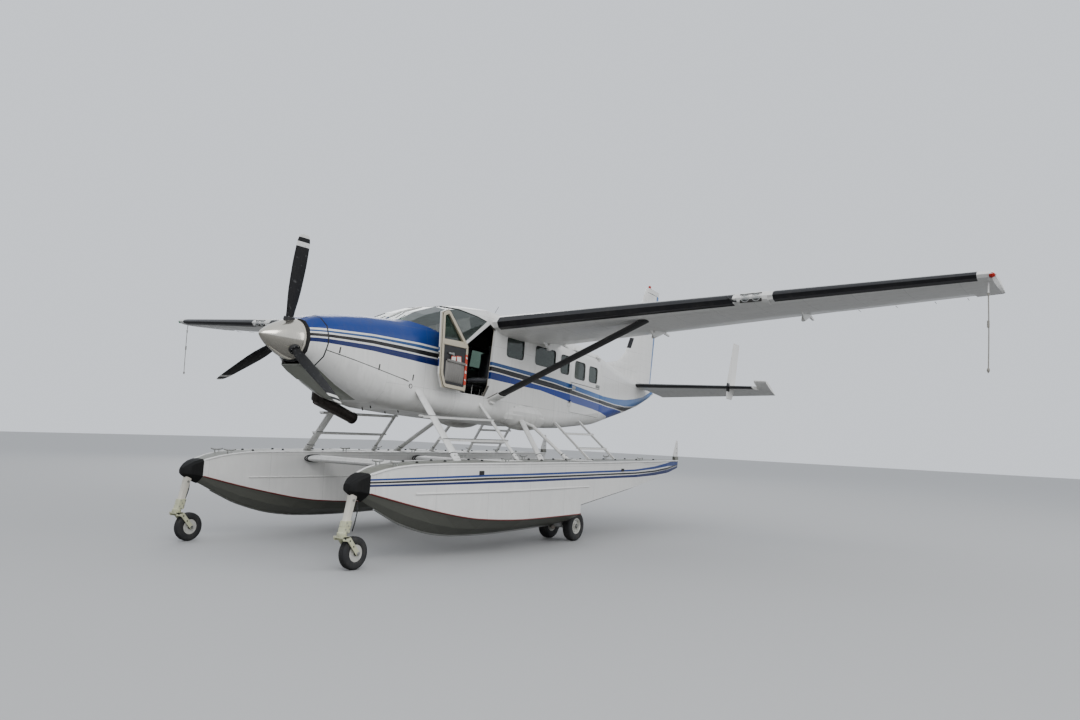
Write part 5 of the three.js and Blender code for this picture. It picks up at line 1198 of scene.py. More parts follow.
def addNoseGear(hand, side):
    y = side * wheels["floatY"]
    deep = gear["depth"] / 2
    tube = loftPart([legRing(y, share, grow) for share, grow in
                     ((0.0, 0.004), (0.2, 0.004), (0.215, 0.0), (0.62, -0.003), (0.72, -0.003))])
    tubeMade = addPiece(f"noseLegTube_{hand}", [tube], "cream", 40)
    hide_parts(f"nose_leg_{hand}")
    clamp = loftPart([legRing(y, gear["clampFrom"] + share, grow) for share, grow in
                      ((0.0, 0.004), (0.005, 0.012), (0.13, 0.012), (0.135, 0.007), (0.15, 0.007), (0.155, 0.012),
                       (0.27, 0.012), (0.28, 0.006))])
    socket = lathePart([(-0.012, 0.05), (0.0, 0.058), (0.034, 0.058), (0.05, 0.04)], ground(0.103, y, 0.407),
                       Vector((0.05, 0, 1)), 32)
    addPiece(f"noseLegClamp_{hand}", [clamp, socket], "clamp", 40)
    arms = [loftPart([[ground(x, y + edge * out, z) for x, z in forkArm] for out in (0.069, 0.083)])
            for edge in (-1, 1)]
    bridge = boxPart((0.052, y - 0.083, 0.384), (0.152, y + 0.083, 0.404), ground)
    axle = rodPart(ground(0.3, y - 0.081, 0.195), ground(0.3, y + 0.081, 0.195), 0.018, 20)
    fork = addPiece(f"noseForkArms_{hand}", [*arms, bridge, axle], "clamp", 40, 0.003,
                    body=f"nose_fork_{hand}")
    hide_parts(f"nose_fork_{hand}")
    hose = smoothLine([legPlace(y, 0.25, -0.075, side * 0.03), legPlace(y, 0.5, -0.1, side * 0.04),
                       legPlace(y, 0.8, -0.09, side * 0.05), legPlace(y, 0.95, -0.1, side * 0.03)], 8)
    addPiece(f"noseLegHose_{hand}", [tubePart(hose, 0.007, 10)], "seal", 60)
    bolts, marks = [], []
    for share, fore in ((0.74, 0.032), (0.74, -0.032), (0.81, 0.0), (0.89, 0.032), (0.89, -0.032), (0.95, 0.0)):
        for out in (-1, 1):
            at = legPlace(y, share, fore, out * (deep + 0.008))
            bolts.append(rodPart(at, at + Vector((0, out * 0.011, 0)), 0.008, 6))
    for out in (-1, 1):
        at = legPlace(y, 0.225, 0.0, out * (deep - 0.004))
        bolts.append(rodPart(at, at + Vector((0, out * 0.014, 0)), 0.016, 8))
    addPiece(f"noseLegBolts_{hand}", bolts, "steel")
    body = f"nose_fork_{hand}"
    plates = []
    for out in (-1, 1):
        for x, z in ((0.09, 0.38), (0.165, 0.352), (0.225, 0.282)):
            at = ground(x, y + out * 0.0825, z)
            marks.append(rodPart(at - Vector((0, out * 0.002, 0)), at + Vector((0, out * 0.003, 0)), 0.01, 16))
        nut = ground(0.3, y + out * 0.083, 0.195)
        plates.append(rodPart(nut, nut + Vector((0, out * 0.012, 0)), 0.024, 6))
    addPiece(f"forkHoles_{hand}", marks, "seal", body=body)
    addPiece(f"forkNuts_{hand}", plates, "steel", bevel=0.002, body=body)
    post = [lathePart([(-0.06, 0.05), (0.0, 0.056), (0.012, 0.05)], ground(4.868, y, 0.42), Vector((0.08, 0, -1)), 28)]
    addPiece(f"mainLegCollar_{hand}", post, "steel")
    calipers = []
    for offset in (-0.125, 0.125):
        calipers.append(boxPart((4.74, y + offset - 0.018, 0.24), (4.8, y + offset + 0.018, 0.32), ground))
    addPiece(f"brakeCalipers_{hand}", calipers, "darkMetal", bevel=0.004)
    for k, offset in enumerate((-0.1, 0.1)):
        line = smoothLine([ground(4.84, y + offset * 0.5, 0.56), ground(4.78, y + offset * 0.8, 0.45),
                           ground(4.76, y + offset, 0.36), ground(4.77, y + offset * 1.2, 0.318)], 7)
        addPiece(f"brakeHose_{hand}_{k}", [tubePart(line, 0.006, 8)], "seal", 60)


onBothSides(addNoseGear)

print("floats")


def floatAt(station):
    return [between([(row[0], row[k]) for row in floatTable], station) for k in range(1, 7)]


def bumperRing(station, y, grow):
    deck, chine, keel, edge, rim, crown = floatAt(station)
    half = [(0.0, keel - grow), (chine * 0.6, (keel + edge) / 2 - grow), (chine + grow, edge - grow * 0.4),
            (deck + grow, rim), (deck * 0.85, crown - 0.006 + grow), (0.0, crown + grow)]
    ring = [(a, b) for a, b in half] + [(-a, b) for a, b in reversed(half[1:-1])]
    return [ground(station, y + a, b) for a, b in ring]


def deckPoint(station, y, across, rise=0.0):
    deck, _, _, _, rim, crown = floatAt(station)
    flat = max(0.02, deck - 0.022)
    share = min(1.0, abs(across) / flat)
    return ground(station, y + across, crown - (crown - rim - 0.012) * share + rise)


def addFloatFittings(hand, side):
    y = side * wheels["floatY"]
    tip = ground(0.121, y, 0.957)
    rings = [[tip.lerp(p, share) + Vector((shift, 0, 0)) for p in bumperRing(0.13, y, 0.01)]
             for share, shift in ((0.02, 0.0), (0.45, 0.001), (0.8, 0.0), (1.0, 0.0))]
    rings += [bumperRing(s, y, 0.014) for s in (0.15, 0.17, 0.2, 0.235, 0.27, 0.31, 0.35)]
    rings += [bumperRing(0.375, y, 0.012), bumperRing(0.385, y, 0.004)]
    addPiece(f"bowBumper_{hand}", [loftPart(rings)], "bumper", 35)
    grip, lips = [], []
    for station in (1.2, 1.75, 2.55, 3.35, 4.05, 4.75, 5.6, 6.4, 7.2, 7.9):
        for across in (-0.12, 0.12):
            at = deckPoint(station, y, across)
            grip.append(lathePart([(-0.006, 0.024), (0.004, 0.024), (0.007, 0.018), (0.016, 0.018), (0.022, 0.012)], at,
                                  upward, 20))
    addPiece(f"pumpCaps_{hand}", grip, "seal", 35)
    for station in (3.15, 5.2):
        for k, rise in ((0.21, 0.006), (0.2, 0.012)):
            ringLow = [deckPoint(station + i * k * 1.35, y, j * k, -0.004)
                       for i, j in ((-1, -1), (1, -1), (1, 1), (-1, 1))]
            ringHigh = [p + Vector((0, 0, rise + 0.004)) for p in ringLow]
            lips.append(loftPart([ringLow, ringHigh]))
    addPiece(f"deckHatches_{hand}", lips, "strut", bevel=0.002)
    latches = []
    for station in (3.15, 5.2):
        for i in (-0.18, 0.18):
            at = deckPoint(station + i, y, side * 0.17, 0.012)
            latches.append(boxPart((-0.02, -0.01, -0.002), (0.02, 0.01, 0.008), lambda a, b, c,
                                   at=at: at + Vector((a, b, c))))
    addPiece(f"hatchLatches_{hand}", latches, "steel", bevel=0.002)
    cleats = []
    for station in (0.78, 2.75, 4.35, 6.9):
        for edge in (-1, 1):
            across = edge * (floatAt(station)[0] - 0.07)
            at = deckPoint(station, y, across)
            post = [rodPart(at + Vector((dx, 0, -0.004)), at + Vector((dx * 1.2, 0, 0.045)), 0.009, 10)
                    for dx in (-0.03, 0.03)]
            horn = tubePart(smoothLine([at + Vector((-0.1, 0, 0.058)), at + Vector((-0.05, 0, 0.046)),
                                        at + Vector((0.05, 0, 0.046)), at + Vector((0.1, 0, 0.058))], 6), 0.01, 10)
            cleats += [*post, horn]
    addPiece(f"deckCleats_{hand}", cleats, "steel", 50)
    edgeLines = []
    for edge in (-1, 1):
        line = [ground(row[0], y + edge * (row[1] + 0.002), row[5] + 0.003) for row in floatTable[3:]]
        edgeLines.append(tubePart(smoothLine(line, 4), 0.011, 10))
    addPiece(f"deckEdging_{hand}", edgeLines, "strut", 60)
    vents, slots = [], []
    for edge in (-1, 1):
        for station, rise, long, tall in ((2.16, 1.13, 0.11, 0.055), (6.05, 1.12, 0.09, 0.05)):
            skin = floatAt(station)[0]
            vents.append(boxPart((station - long / 2, y + edge * (skin - 0.012), rise - tall / 2),
                                 (station + long / 2, y + edge * (skin + 0.005), rise + tall / 2), ground))
            for slot in range(4):
                z = rise - tall * 0.3 + tall * 0.2 * slot
                slots.append(boxPart((station - long * 0.38, y + edge * (skin + 0.004), z - 0.003),
                                     (station + long * 0.38, y + edge * (skin + 0.008), z + 0.003), ground))
    addPiece(f"sideVents_{hand}", vents, "darkMetal", bevel=0.002)
    addPiece(f"ventSlots_{hand}", slots, "seal")
    keel = [ground(row[0], y, row[3] - 0.004) for row in floatTable[4:12]]
    addPiece(f"keelStrip_{hand}", [tubePart(smoothLine(keel, 3), 0.012, 8)], "steel", 60)
    chines = []
    for edge in (-1, 1):
        line = [ground(row[0], y + edge * (row[2] + 0.003), row[4] - 0.002) for row in floatTable[3:12]]
        chines.append(tubePart(smoothLine(line, 3), 0.008, 8))
    addPiece(f"chineStrips_{hand}", chines, "chineTrim", 60)
    rails, strakes = [], []
    for edge in (-1, 1):
        line = []
        for station in (1.05, 1.5, 1.9, 2.3, 3.1, 4.3, 4.89):
            deck, chine, _, low, high, _ = floatAt(station)
            line.append(ground(station, y + edge * (chine + (deck - chine) * (0.875 - low) / (high - low) + 0.003),
                               0.875))
        rails.append(tubePart(smoothLine(line, 4), 0.0125, 10))
        line = []
        for station in (0.8, 1.05, 1.5, 1.9, 2.3, 3.1, 4.6):
            _, chine, keel, low, _, _ = floatAt(station)
            line.append(ground(station, y + edge * chine * 0.52, keel + (low - keel) * 0.52 - 0.006))
        strakes.append(tubePart(smoothLine(line, 3), 0.009, 8))
    addPiece(f"sideRails_{hand}", rails, "strut", 60)
    addPiece(f"bottomStrakes_{hand}", strakes, "steel", 60)


onBothSides(addFloatFittings)

print("struts and steps")
strutLines = {
    "frontLeg": ((2.267, 0.64, 2.34), (2.253, 1.6, 1.18), 0.15, 0.048),
    "middleLeg": ((3.62, 0.65, 2.28), (3.708, 1.6, 1.18), 0.07, 0.04),
    "rearLeg": ((4.8, 0.665, 2.075), (4.25, 1.65, 1.18), 0.13, 0.056),
    "rearBrace": ((4.945, 0.68, 1.975), (5.205, 1.59, 1.19), 0.062, 0.052),
}


def strutCuff(line, side, fromShare, toShare, grow):
    top, foot, chord, thick = line
    ends = [Vector((p[0], side * p[1], p[2])) for p in (top, foot)]
    fore = Vector((1, 0, 0))
    across = (ends[1] - ends[0]).cross(fore).normalized()
    rings = []
    for share, more in ((fromShare, 0.0), (fromShare + 0.004, grow), (toShare - 0.004, grow), (toShare, 0.0)):
        middle = ends[0].lerp(ends[1], share)
        ring = []
        for t in turns(28):
            p = middle + fore * cos(t) * (chord / 2 + more) + across * sin(t) * (thick / 2 + more)
            ring.append(ground(*p))
        rings.append(ring)
    return loftPart(rings)


# front and rear station, distance from the middle and height of the boards
stepBoards = ((2.04, 3.69, 1.01, 1.866), (2.16, 3.715, 1.282, 1.552))
ladderBoards = ((5.93, 6.89, 0.95, 1.7), (6.02, 6.99, 1.185, 1.45))


def boardPart(board, side, inset, near, far, low, high):
    front, rear, y, z = board
    return boxPart((front + inset, side * (y + near), z + low), (rear - inset, side * (y + far), z + high), ground)


def addStrutFittings(hand, side):
    cuffs, bolts, marks = [], [], []
    for name, line in strutLines.items():
        top, foot, chord, thick = line
        length = (Vector(foot) - Vector(top)).length
        feet = (1.27 - top[2]) / (foot[2] - top[2])
        cuffs.append(strutCuff(line, side, feet - 0.11 / length, feet - 0.002, 0.006))
        for fore in (-0.25, 0.25):
            middle = Vector((top[0], side * top[1], top[2])).lerp(Vector((foot[0], side * foot[1], foot[2])),
                                                                  feet - 0.055 / length)
            spot = ground(*middle) + Vector((fore * chord, 0, 0))
            out = Vector((0, side * 0.62, 0.78))
            bolts.append(rodPart(spot - out * (thick / 2 + 0.014), spot + out * (thick / 2 + 0.014), 0.008, 6))
        marks.append(strutCuff(line, side, feet - 0.125 / length, feet - 0.112 / length, 0.003))
    addPiece(f"strutFeet_{hand}", cuffs, "strut", 35)
    addPiece(f"strutBolts_{hand}", bolts, "steel")
    addPiece(f"strutBands_{hand}", marks, "seal", 35)
    treads = [boardPart(board, side, 0.05, -0.036, 0.036, 0.01, 0.0145) for board in stepBoards]
    treads += [boardPart(board, side, 0.02, -0.032, 0.032, 0.012, 0.0165) for board in ladderBoards]
    addPiece(f"stepGrips_{hand}", treads, "tread")
    lips = [rodPart(ground(low + 0.006, side * (y + edge), z + 0.008), ground(high - 0.006, side * (y + edge),
                                                                              z + 0.008), 0.0055, 10) for low, high, y,
            z in stepBoards for edge in (-0.0455, 0.0455)]
    addPiece(f"stepLips_{hand}", lips, "steel", 50)
    skirts = [boardPart(board, side, 0.01, 0.034, 0.042, -0.028, 0.004) for board in stepBoards]
    skirts += [boardPart(board, side, 0.01, 0.03, 0.038, -0.022, 0.012) for board in ladderBoards]
    addPiece(f"stepSkirts_{hand}", skirts, "strut", bevel=0.002)
    rings = []
    for at, chord, thick in ((2.08, 0.33, 0.105), (4.4, 0.3, 0.1)):
        half = floatAt(at)[0]
        for offset in (0.004, 0.05):
            middle = side * (wheels["floatY"] - half - 0.004 - offset)
            ring = []
            for across in (middle, middle - side * 0.022):
                ring.append([ground(at + cos(t) * (chord / 2 + 0.008), across, 1.155 + sin(t) * (thick / 2 + 0.008))
                             for t in turns(32)])
            rings.append(loftPart(ring))
    addPiece(f"spreaderRings_{hand}", rings, "seal")
    pin = [rodPart(ground(9.185, side * 1.61 - 0.042, 1.3), ground(9.185, side * 1.61 + 0.042, 1.3), 0.014, 6)]
    addPiece(f"rudderPinHeads_{hand}", pin, "steel")
    body = f"water_rudder_{hand}"
    ribs = []
    for rise in (0.1, 0.19, 0.28):
        for out in (-1, 1):
            y = side * wheels["floatY"] + out * 0.007
            ribs.append(boxPart((9.125 + rise * 0.2, y - out * 0.002, 1.294 + rise),
                                (9.205, y + out * 0.004, 1.306 + rise), ground))
    addPiece(f"waterRudderRibs_{hand}", ribs, "steel", body=body)


onBothSides(addStrutFittings)

print("airframe details")
windowOutlines = {
    # hand, front and rear station, sill and head
    "front": (None, 4.25, 4.74, 0.315, 0.655), "second": (None, 5.084, 5.73, 0.305, 0.63),
    "third": (None, 5.906, 6.215, 0.262, 0.605), "cargoFront": ("port", 6.43, 6.867, 0.235, 0.565),
    "cargoRear": ("port", 7.03, 7.407, 0.245, 0.55), "entry": ("starboard", 6.48, 6.85, 0.235, 0.565),
}
windowBody = {"cargoFront": "cargo_door_upper", "cargoRear": "cargo_door_upper", "entry": "entry_door_upper"}


def skinPlace(side):
    return lambda u, d, w: air(u, side * (between(skinHalf, u) - d), w)


def addWindows(hand, side):
    place = skinPlace(side)
    for name, (only, front, rear, sill, head) in windowOutlines.items():
        if only not in (None, hand):
            continue
        outline = roundCorners(rectangle(front, sill, rear, head), 0.07, 6)
        body = windowBody.get(name, "airframe")
        frameBand = bandPart(outlineGrow(outline, 0.022), 0.02, (-0.0035, 0.004), place)
        addPiece(f"windowFrame_{name}_{hand}", [frameBand], "strut", body=body)
        sealBand = bandPart(outlineGrow(outline, 0.004), 0.01, (-0.004, 0.006), place)
        addPiece(f"windowSeal_{name}_{hand}", [sealBand], "seal", body=body)


onBothSides(addWindows)


def roofHeight(u, y):
    top, half = between(skinTop, u), between(skinHalf, u)
    corner = min(0.35, half * 0.5)
    flat = half - corner
    if abs(y) <= flat:
        return top
    return top - corner * (1 - sqrt(max(0.0, 1 - ((abs(y) - flat) / corner) ** 2)))


def addWindshieldTrim():
    # the centre post, the wipers, and the antennas and pods on the roof
    shieldStations = (2.12, 2.5, 2.75, 2.99)
    post = []
    for u in shieldStations:
        w = between(skinTop, u) if u > 2.12 else 0.545
        post.append([air(u, y, w + d) for y, d in ((-0.02, -0.01), (0.02, -0.01), (0.017, 0.007), (-0.017, 0.007))])
    addPiece("windshieldPost", [loftPart(post)], "strut", bevel=0.002)
    wipers = []
    for side in hands.values():
        line = [air(2.16, side * 0.28, 0.585), air(2.42, side * 0.2, between(skinTop, 2.42) + 0.014)]
        wipers.append(tubePart(line, 0.006, 8))
    addPiece("wipers", wipers, "seal", 40)
    for name, at, across, length in (("whipAntenna", 4.77, 0.0, 0.32), ("bladeAntenna", 5.6, 0.25, 0.16),
                                     ("roofAntenna", 6.6, 0.0, 0.13)):
        foot = air(at, across, roofHeight(at, across) - 0.01)
        tip = air(at + length * 0.75, across, roofHeight(at, across) + length)
        rings = []
        for share, chord, thick in ((0.0, 0.09, 0.022), (0.12, 0.06, 0.014), (1.0, 0.03, 0.007)):
            if name == "whipAntenna":
                chord, thick = (0.05, 0.03) if share < 0.1 else (0.009, 0.009)
            middle = foot.lerp(tip, share)
            rings.append([middle + Vector((cos(t) * chord / 2, sin(t) * thick / 2, 0)) for t in turns(16)])
        addPiece(name, [loftPart(rings)], "seal" if name == "whipAntenna" else "strut", 40)
    pods = []
    for at, across in ((4.4, 0.3), (5.1, -0.3), (7.2, 0.0)):
        base = air(at, across, roofHeight(at, across) - 0.006)
        pods.append(lathePart([(0, 0.055), (0.012, 0.055), (0.028, 0.042), (0.036, 0.015)], base, above, 28))
    addPiece("antennaPods", pods, "strut", 40)


addWindshieldTrim()

wingEdges = {
    "lead": [(0.8, 3.803), (7.83, 3.965)], "rise": [(0.8, 0.8), (7.83, 1.159)], "chord": [(0.8, 1.98), (7.83, 1.22)],
}


def noseLine(y, ahead=0.0, above=0.0):
    return air(between(wingEdges["lead"], abs(y)) - ahead, y, between(wingEdges["rise"], abs(y)) + above)


def addLamp(hand, side):
    # twin landing lamps behind a clear cover, with a white border at each end of the pod
    pans, bulbs, borders = [], [], []
    for out in (4.97, 5.12):
        front = noseLine(side * out, 0.014, -0.012)
        axis = air(-1, 0, -0.04) - air(0, 0, 0)
        pans.append(lathePart([(-0.05, 0.03), (-0.02, 0.052), (0.0, 0.057), (0.006, 0.057), (0.006, 0.05),
                               (-0.018, 0.044), (-0.04, 0.02)], front, axis, 32))
        bulbs.append(lathePart([(-0.03, 0.042), (0.002, 0.046), (0.006, 0.03), (0.008, 0.004)], front, axis, 32))
    addPiece(f"lampPans_{hand}", pans, "steel", 35)
    addPiece(f"lampLenses_{hand}", bulbs, "lamp", 40)
    back = []
    for y in (4.895, 4.905, 5.185, 5.195):
        ring = []
        for i in range(13):
            t = pi * (i / 12 - 0.5)
            ring.append(noseLine(side * y, 0.002 + 0.008 * cos(t), 0.062 * sin(t) - 0.012))
        back.append(ring)
    points = [p for ring in back for p in ring]
    faces = [(r * 13 + i, r * 13 + i + 1, (r + 1) * 13 + i + 1, (r + 1) * 13 + i) for r in range(3) for i in range(12)]
    faces += [tuple(range(13)), tuple(39 + i for i in range(13))[::-1]]
    faces += [(r * 13, (r + 1) * 13, (r + 1) * 13 + 12, r * 13 + 12) for r in range(3)]
    addPiece(f"lampBacking_{hand}", [(points, faces)], "darkMetal", 40)


onBothSides(addLamp)


def addWingFittings(hand, side):
    rings = []
    for share, size in ((0.0, 0.03), (0.4, 0.034), (0.8, 0.022), (1.0, 0.004)):
        rings.append([air(4.02 + cos(t) * size * 1.6, side * (7.88 + 0.07 * share), 1.155 + sin(t) * size)
                      for t in turns(20)])
    addPiece(f"navLight_{hand}", [loftPart(rings)], "red" if side < 0 else "green", 50)
    wicks = []
    for y in (6.1, 6.6, 7.1, 7.5):
        start = air(between(wingEdges["lead"], y) + between(wingEdges["chord"], y) - 0.03, side * y,
                    between(wingEdges["rise"], y) - 0.005)
        wicks.append(rodPart(start, start + Vector((0.14, 0, -0.008)), 0.004, 8, 0.002))
    addPiece(f"staticWicks_{hand}", wicks, "seal", 40, body=f"aileron_{hand}")
    base = lathePart([(-0.03, 0.075), (0.004, 0.075), (0.012, 0.06)], air(3.93, side * 0.83, -0.428),
                     Vector((0, side, 0.45)), 28)
    addPiece(f"strutRoot_{hand}", [base], "strut", 40)
    caps = []
    for y in (1.25, 1.7, 2.3):
        at = air(between(wingEdges["lead"], y) + 0.55, side * y, between(wingEdges["rise"], y) + 0.196)
        caps.append(lathePart([(-0.03, 0.05), (0.002, 0.05), (0.006, 0.044)], at, upward, 28))
    addPiece(f"fuelCaps_{hand}", caps, "steel", 40)


onBothSides(addWingFittings)

# the pitot mast stands ahead of the port wing only
mast = [noseLine(-4.83, -0.04, -0.03), noseLine(-4.83, 0.05, -0.05), noseLine(-4.83, 0.11, -0.052)]
addPiece("pitotMast", [tubePart(smoothLine(mast, 6), 0.014, 12), rodPart(noseLine(-4.83, 0.09, -0.052),
                                                                         noseLine(-4.83, 0.3, -0.052), 0.011, 12,
                                                                         0.008)], "seal", 50)

beaconAt = air(10.79, 0, 2.9)
addPiece("beaconLens", [lathePart([(0.0, 0.034), (0.05, 0.034), (0.066, 0.03), (0.078, 0.016), (0.081, 0.003)],
                                  beaconAt, above, 28)], "red", 50)
addPiece("beaconBase", [lathePart([(-0.01, 0.045), (0.006, 0.045), (0.012, 0.037)], beaconAt, above, 28)], "steel",
         40)
tailAt = air(11.2, 0, 0.47)
addPiece("tailLight", [lathePart([(-0.02, 0.022), (0.012, 0.022), (0.03, 0.015), (0.036, 0.002)], tailAt, aft, 24)],
         "lamp", 50)


def addHandles():
    specs = (("cargo", "cargo_door_lower", -1, 6.42, 0.06),
             ("cargoTop", "cargo_door_upper", -1, 7.45, 0.2), ("entry", "entry_door_lower", 1, 6.66, 0.06))
    for name, body, side, at, rise in specs:
        place = skinPlace(side)
        plate = slabPart(rectangle(at - 0.09, rise - 0.03, at + 0.09, rise + 0.03), (-0.003, 0.004), place, 0.02)
        grip = slabPart(rectangle(at - 0.075, rise - 0.012, at + 0.075, rise + 0.012), (-0.013, 0.002), place, 0.01)
        addPiece(f"doorHandle_{name}", [plate, grip], "steel", bevel=0.002, body=body)


addHandles()

def addJamb(hand, side):
    place = skinPlace(side)
    jamb = bandPart(outlineGrow(doorOutline, 0.034), 0.026, (0.046, 0.058), place)
    addPiece(f"doorJamb_{hand}", [jamb], "beige")
    seal = bandPart(outlineGrow(doorOutline, 0.03), 0.022, (0.0455, 0.048), place)
    addPiece(f"jambSeal_{hand}", [seal], "seal")


onBothSides(addJamb)

print("cabin")
cabin = {"floor": -0.42, "seat": -0.05, "rows": [(3.48, 0.345, 0.47), (4.52, 0.4, 0.43), (5.33, 0.4, 0.43),
                                                 (6.14, 0.4, 0.43)], "voxel": 0.008, "pressure": 4.0, "frames": 20,
         "cap": 0.022}


def padMesh(name, length, width, tall, crown):
    # a crowned closed form whose sides pull in between its corners
    shape = bmesh.new()
    bmesh.ops.create_cube(shape, size=1.0)
    bmesh.ops.subdivide_edges(shape, edges=shape.edges, cuts=14, use_grid_fill=True)
    for v in shape.verts:
        x, y, z = v.co * 2
        pull = 0.03
        fx = 1 - pull * (1 - y * y) - 0.05 * z * z
        fy = 1 - pull * (1 - x * x) - 0.05 * z * z
        fz = 1 - 0.3 * max(abs(x), abs(y)) ** 6
        v.co = Vector((x * fx * length / 2, y * fy * width / 2,
                       z * fz * tall / 2 + crown * (1 - x * x) * (1 - y * y) * (z > 0)))
    mesh = bpy.data.meshes.new(name)
    shape.to_mesh(mesh)
    shape.free()
    return mesh


def inflated(mesh):
    # the pad after voxel remeshing and a pressure simulation, no point moving further than the cap
    pad = newObject("padInWork", mesh)
    remesh = pad.modifiers.new("voxels", "REMESH")
    remesh.mode = "VOXEL"
    remesh.voxel_size = cabin["voxel"]
    pad.data = bpy.data.meshes.new_from_object(pad.evaluated_get(bpy.context.evaluated_depsgraph_get()))
    pad.modifiers.clear()
    before = [v.co.copy() for v in pad.data.vertices]
    cloth = pad.modifiers.new("air", "CLOTH")
    cloth.settings.use_pressure = True
    cloth.settings.uniform_pressure_force = cabin["pressure"]
    cloth.settings.effector_weights.gravity = 0
    cloth.settings.quality = 5
    cloth.point_cache.frame_start = 1
    cloth.point_cache.frame_end = cabin["frames"]
    scene = bpy.context.scene
    for number in range(1, cabin["frames"] + 1):
        scene.frame_set(number)
    blown = bpy.data.meshes.new_from_object(pad.evaluated_get(bpy.context.evaluated_depsgraph_get()))
    pad.modifiers.clear()
    for v, start, end in zip(pad.data.vertices, before, blown.vertices):
        move = end.co - start
        v.co = start + move * min(1.0, cabin["cap"] / max(move.length, 1e-9))
    scene.frame_set(1)
    finished = pad.data
    bpy.data.objects.remove(pad)
    return finished


def fitted(mesh, length, width, tall):
    # the pad brought back to its seat's length, width and thickness
    low = [min(v.co[k] for v in mesh.vertices) for k in range(3)]
    high = [max(v.co[k] for v in mesh.vertices) for k in range(3)]
    for v in mesh.vertices:
        for k, size in enumerate((length, width, tall)):
            v.co[k] = (v.co[k] - (low[k] + high[k]) / 2) * size / (high[k] - low[k])
    return mesh


def sewn(mesh, width, tall, lines):
    # sewn channels pressed into the upper face after the simulation
    for v in mesh.vertices:
        if v.co.z < 0:
            continue
        for at in lines:
            away = (v.co.y - at * width) / 0.009
            v.co.z -= 0.007 * exp(-away * away)
    return mesh


def pipingPart(mesh, level, place):
    tree = BVHTree.FromPolygons([v.co.copy() for v in mesh.vertices], [tuple(p.vertices) for p in mesh.polygons])
    line = []
    for t in turns(72):
        hit = tree.ray_cast(Vector((0, 0, level)), Vector((cos(t), sin(t), 0)))[0]
        if hit is not None:
            line.append(place(*hit))
    return tubePart(line, 0.0042, 6, closed=True)


def padPiece(name, mesh, place, skin):
    copy = mesh.copy()
    for v in copy.vertices:
        v.co = place(*v.co)
    copy.materials.clear()
    copy.materials.append(skins[skin])
    shadeByAngle(copy, 70)
    piece = newObject(name, copy)
    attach(piece, "airframe")
    return piece


def addSeats():
    base = sewn(fitted(inflated(padMesh("seatPad", 0.42, 0.43, 0.085, 0.01)), 0.45, 0.455, 0.095), 0.455, 0.095,
                (-0.2, 0.2))
    rest = sewn(fitted(inflated(padMesh("backPad", 0.62, 0.43, 0.07, 0.008)), 0.665, 0.455, 0.085), 0.455, 0.085,
                (-0.22, 0.22))
    lean = atan2(0.115, 0.68)
    piping, frames, shells, belts, buckles = [], [], [], [], []
    for row, (back, across, width) in enumerate(cabin["rows"]):
        for side in (-1, 1):
            share = (width - 0.015) / 0.455
            y0 = side * across
            onSeat = lambda x, y, z: air(back - 0.245 + x, y0 + y * share, cabin["seat"] - 0.045 + z)

            def onBack(x, y, z, back=back, y0=y0, share=share):
                # x runs up the back rest, z points forward out of it
                up, out = 0.31 + x, z + 0.004
                return air(back - 0.038 + up * sin(lean) - out * cos(lean), y0 + y * share,
                           cabin["seat"] - 0.03 + up * cos(lean) + out * sin(lean))

            name = f"{row}_{'port' if side < 0 else 'starboard'}"
            skin = "leather" if row == 0 else "cloth"
            padPiece(f"seatCushion_{name}", base, onSeat, skin)
            padPiece(f"seatBack_{name}", rest, onBack, skin)
            piping += [pipingPart(base, level, onSeat) for level in (0.028, -0.03)]
            piping.append(pipingPart(rest, 0.022, onBack))
            half = width / 2 - 0.02
            shell = []
            for up, thick in ((-0.3, 0.03), (-0.2, 0.034), (0.2, 0.034), (0.31, 0.03), (0.335, 0.012)):
                shell.append([onBack(up, y / share, z) for y, z in ((-half, -0.035), (half, -0.035),
                                                                    (half, -0.035 - thick * 0.5),
                                                                    (half * 0.8, -0.035 - thick),
                                                                    (-half * 0.8, -0.035 - thick),
                                                                    (-half, -0.035 - thick * 0.5))])
            shells.append(loftPart(shell))
            low, seat = cabin["floor"] + 0.016, cabin["seat"] - 0.094
            for y in (-half + 0.03, half - 0.03):
                for foot, head in ((-0.39, -0.37), (-0.1, -0.08)):
                    frames.append(rodPart(air(back + foot, y0 + y, low), air(back + head, y0 + y, seat), 0.013, 10))
                frames.append(rodPart(air(back - 0.46, y0 + y, seat), air(back - 0.03, y0 + y, seat), 0.014, 10))
                frames.append(rodPart(air(back - 0.42, y0 + y, low), air(back - 0.06, y0 + y, low), 0.012, 10))
            frames.append(rodPart(air(back - 0.45, y0 - half, seat), air(back - 0.45, y0 + half, seat), 0.012, 10))
            for out in (-1, 1):
                path = smoothLine([onBack(-0.3, out * 0.18, 0.05), onSeat(0.1, out * 0.17, 0.057),
                                   onSeat(-0.02, out * 0.09, 0.062), onSeat(-0.05, out * 0.015, 0.062)], 8)
                rings = []
                for i, p in enumerate(path):
                    ahead = (path[min(i + 1, len(path) - 1)] - path[max(i - 1, 0)]).normalized()
                    flat = ahead.cross(upward).normalized() * 0.02
                    lift = Vector((0, 0, 0.0015))
                    rings.append([p - flat - lift, p + flat - lift, p + flat + lift, p - flat + lift])
                belts.append(loftPart(rings))
            at = onSeat(-0.05, 0, 0.064)
            buckles.append(boxPart((-0.02, -0.026, -0.004), (0.02, 0.026, 0.007), lambda a, b, c,
                                   at=at: at + Vector((a, b, c))))
    addPiece("seatPiping", piping, "seal", 60)
    addPiece("seatFrames", frames, "steel", 50)
    addPiece("seatShells", shells, "panel", bevel=0.003)
    addPiece("seatBelts", belts, "seal", 40)
    addPiece("seatBuckles", buckles, "steel", bevel=0.002)


addSeats()


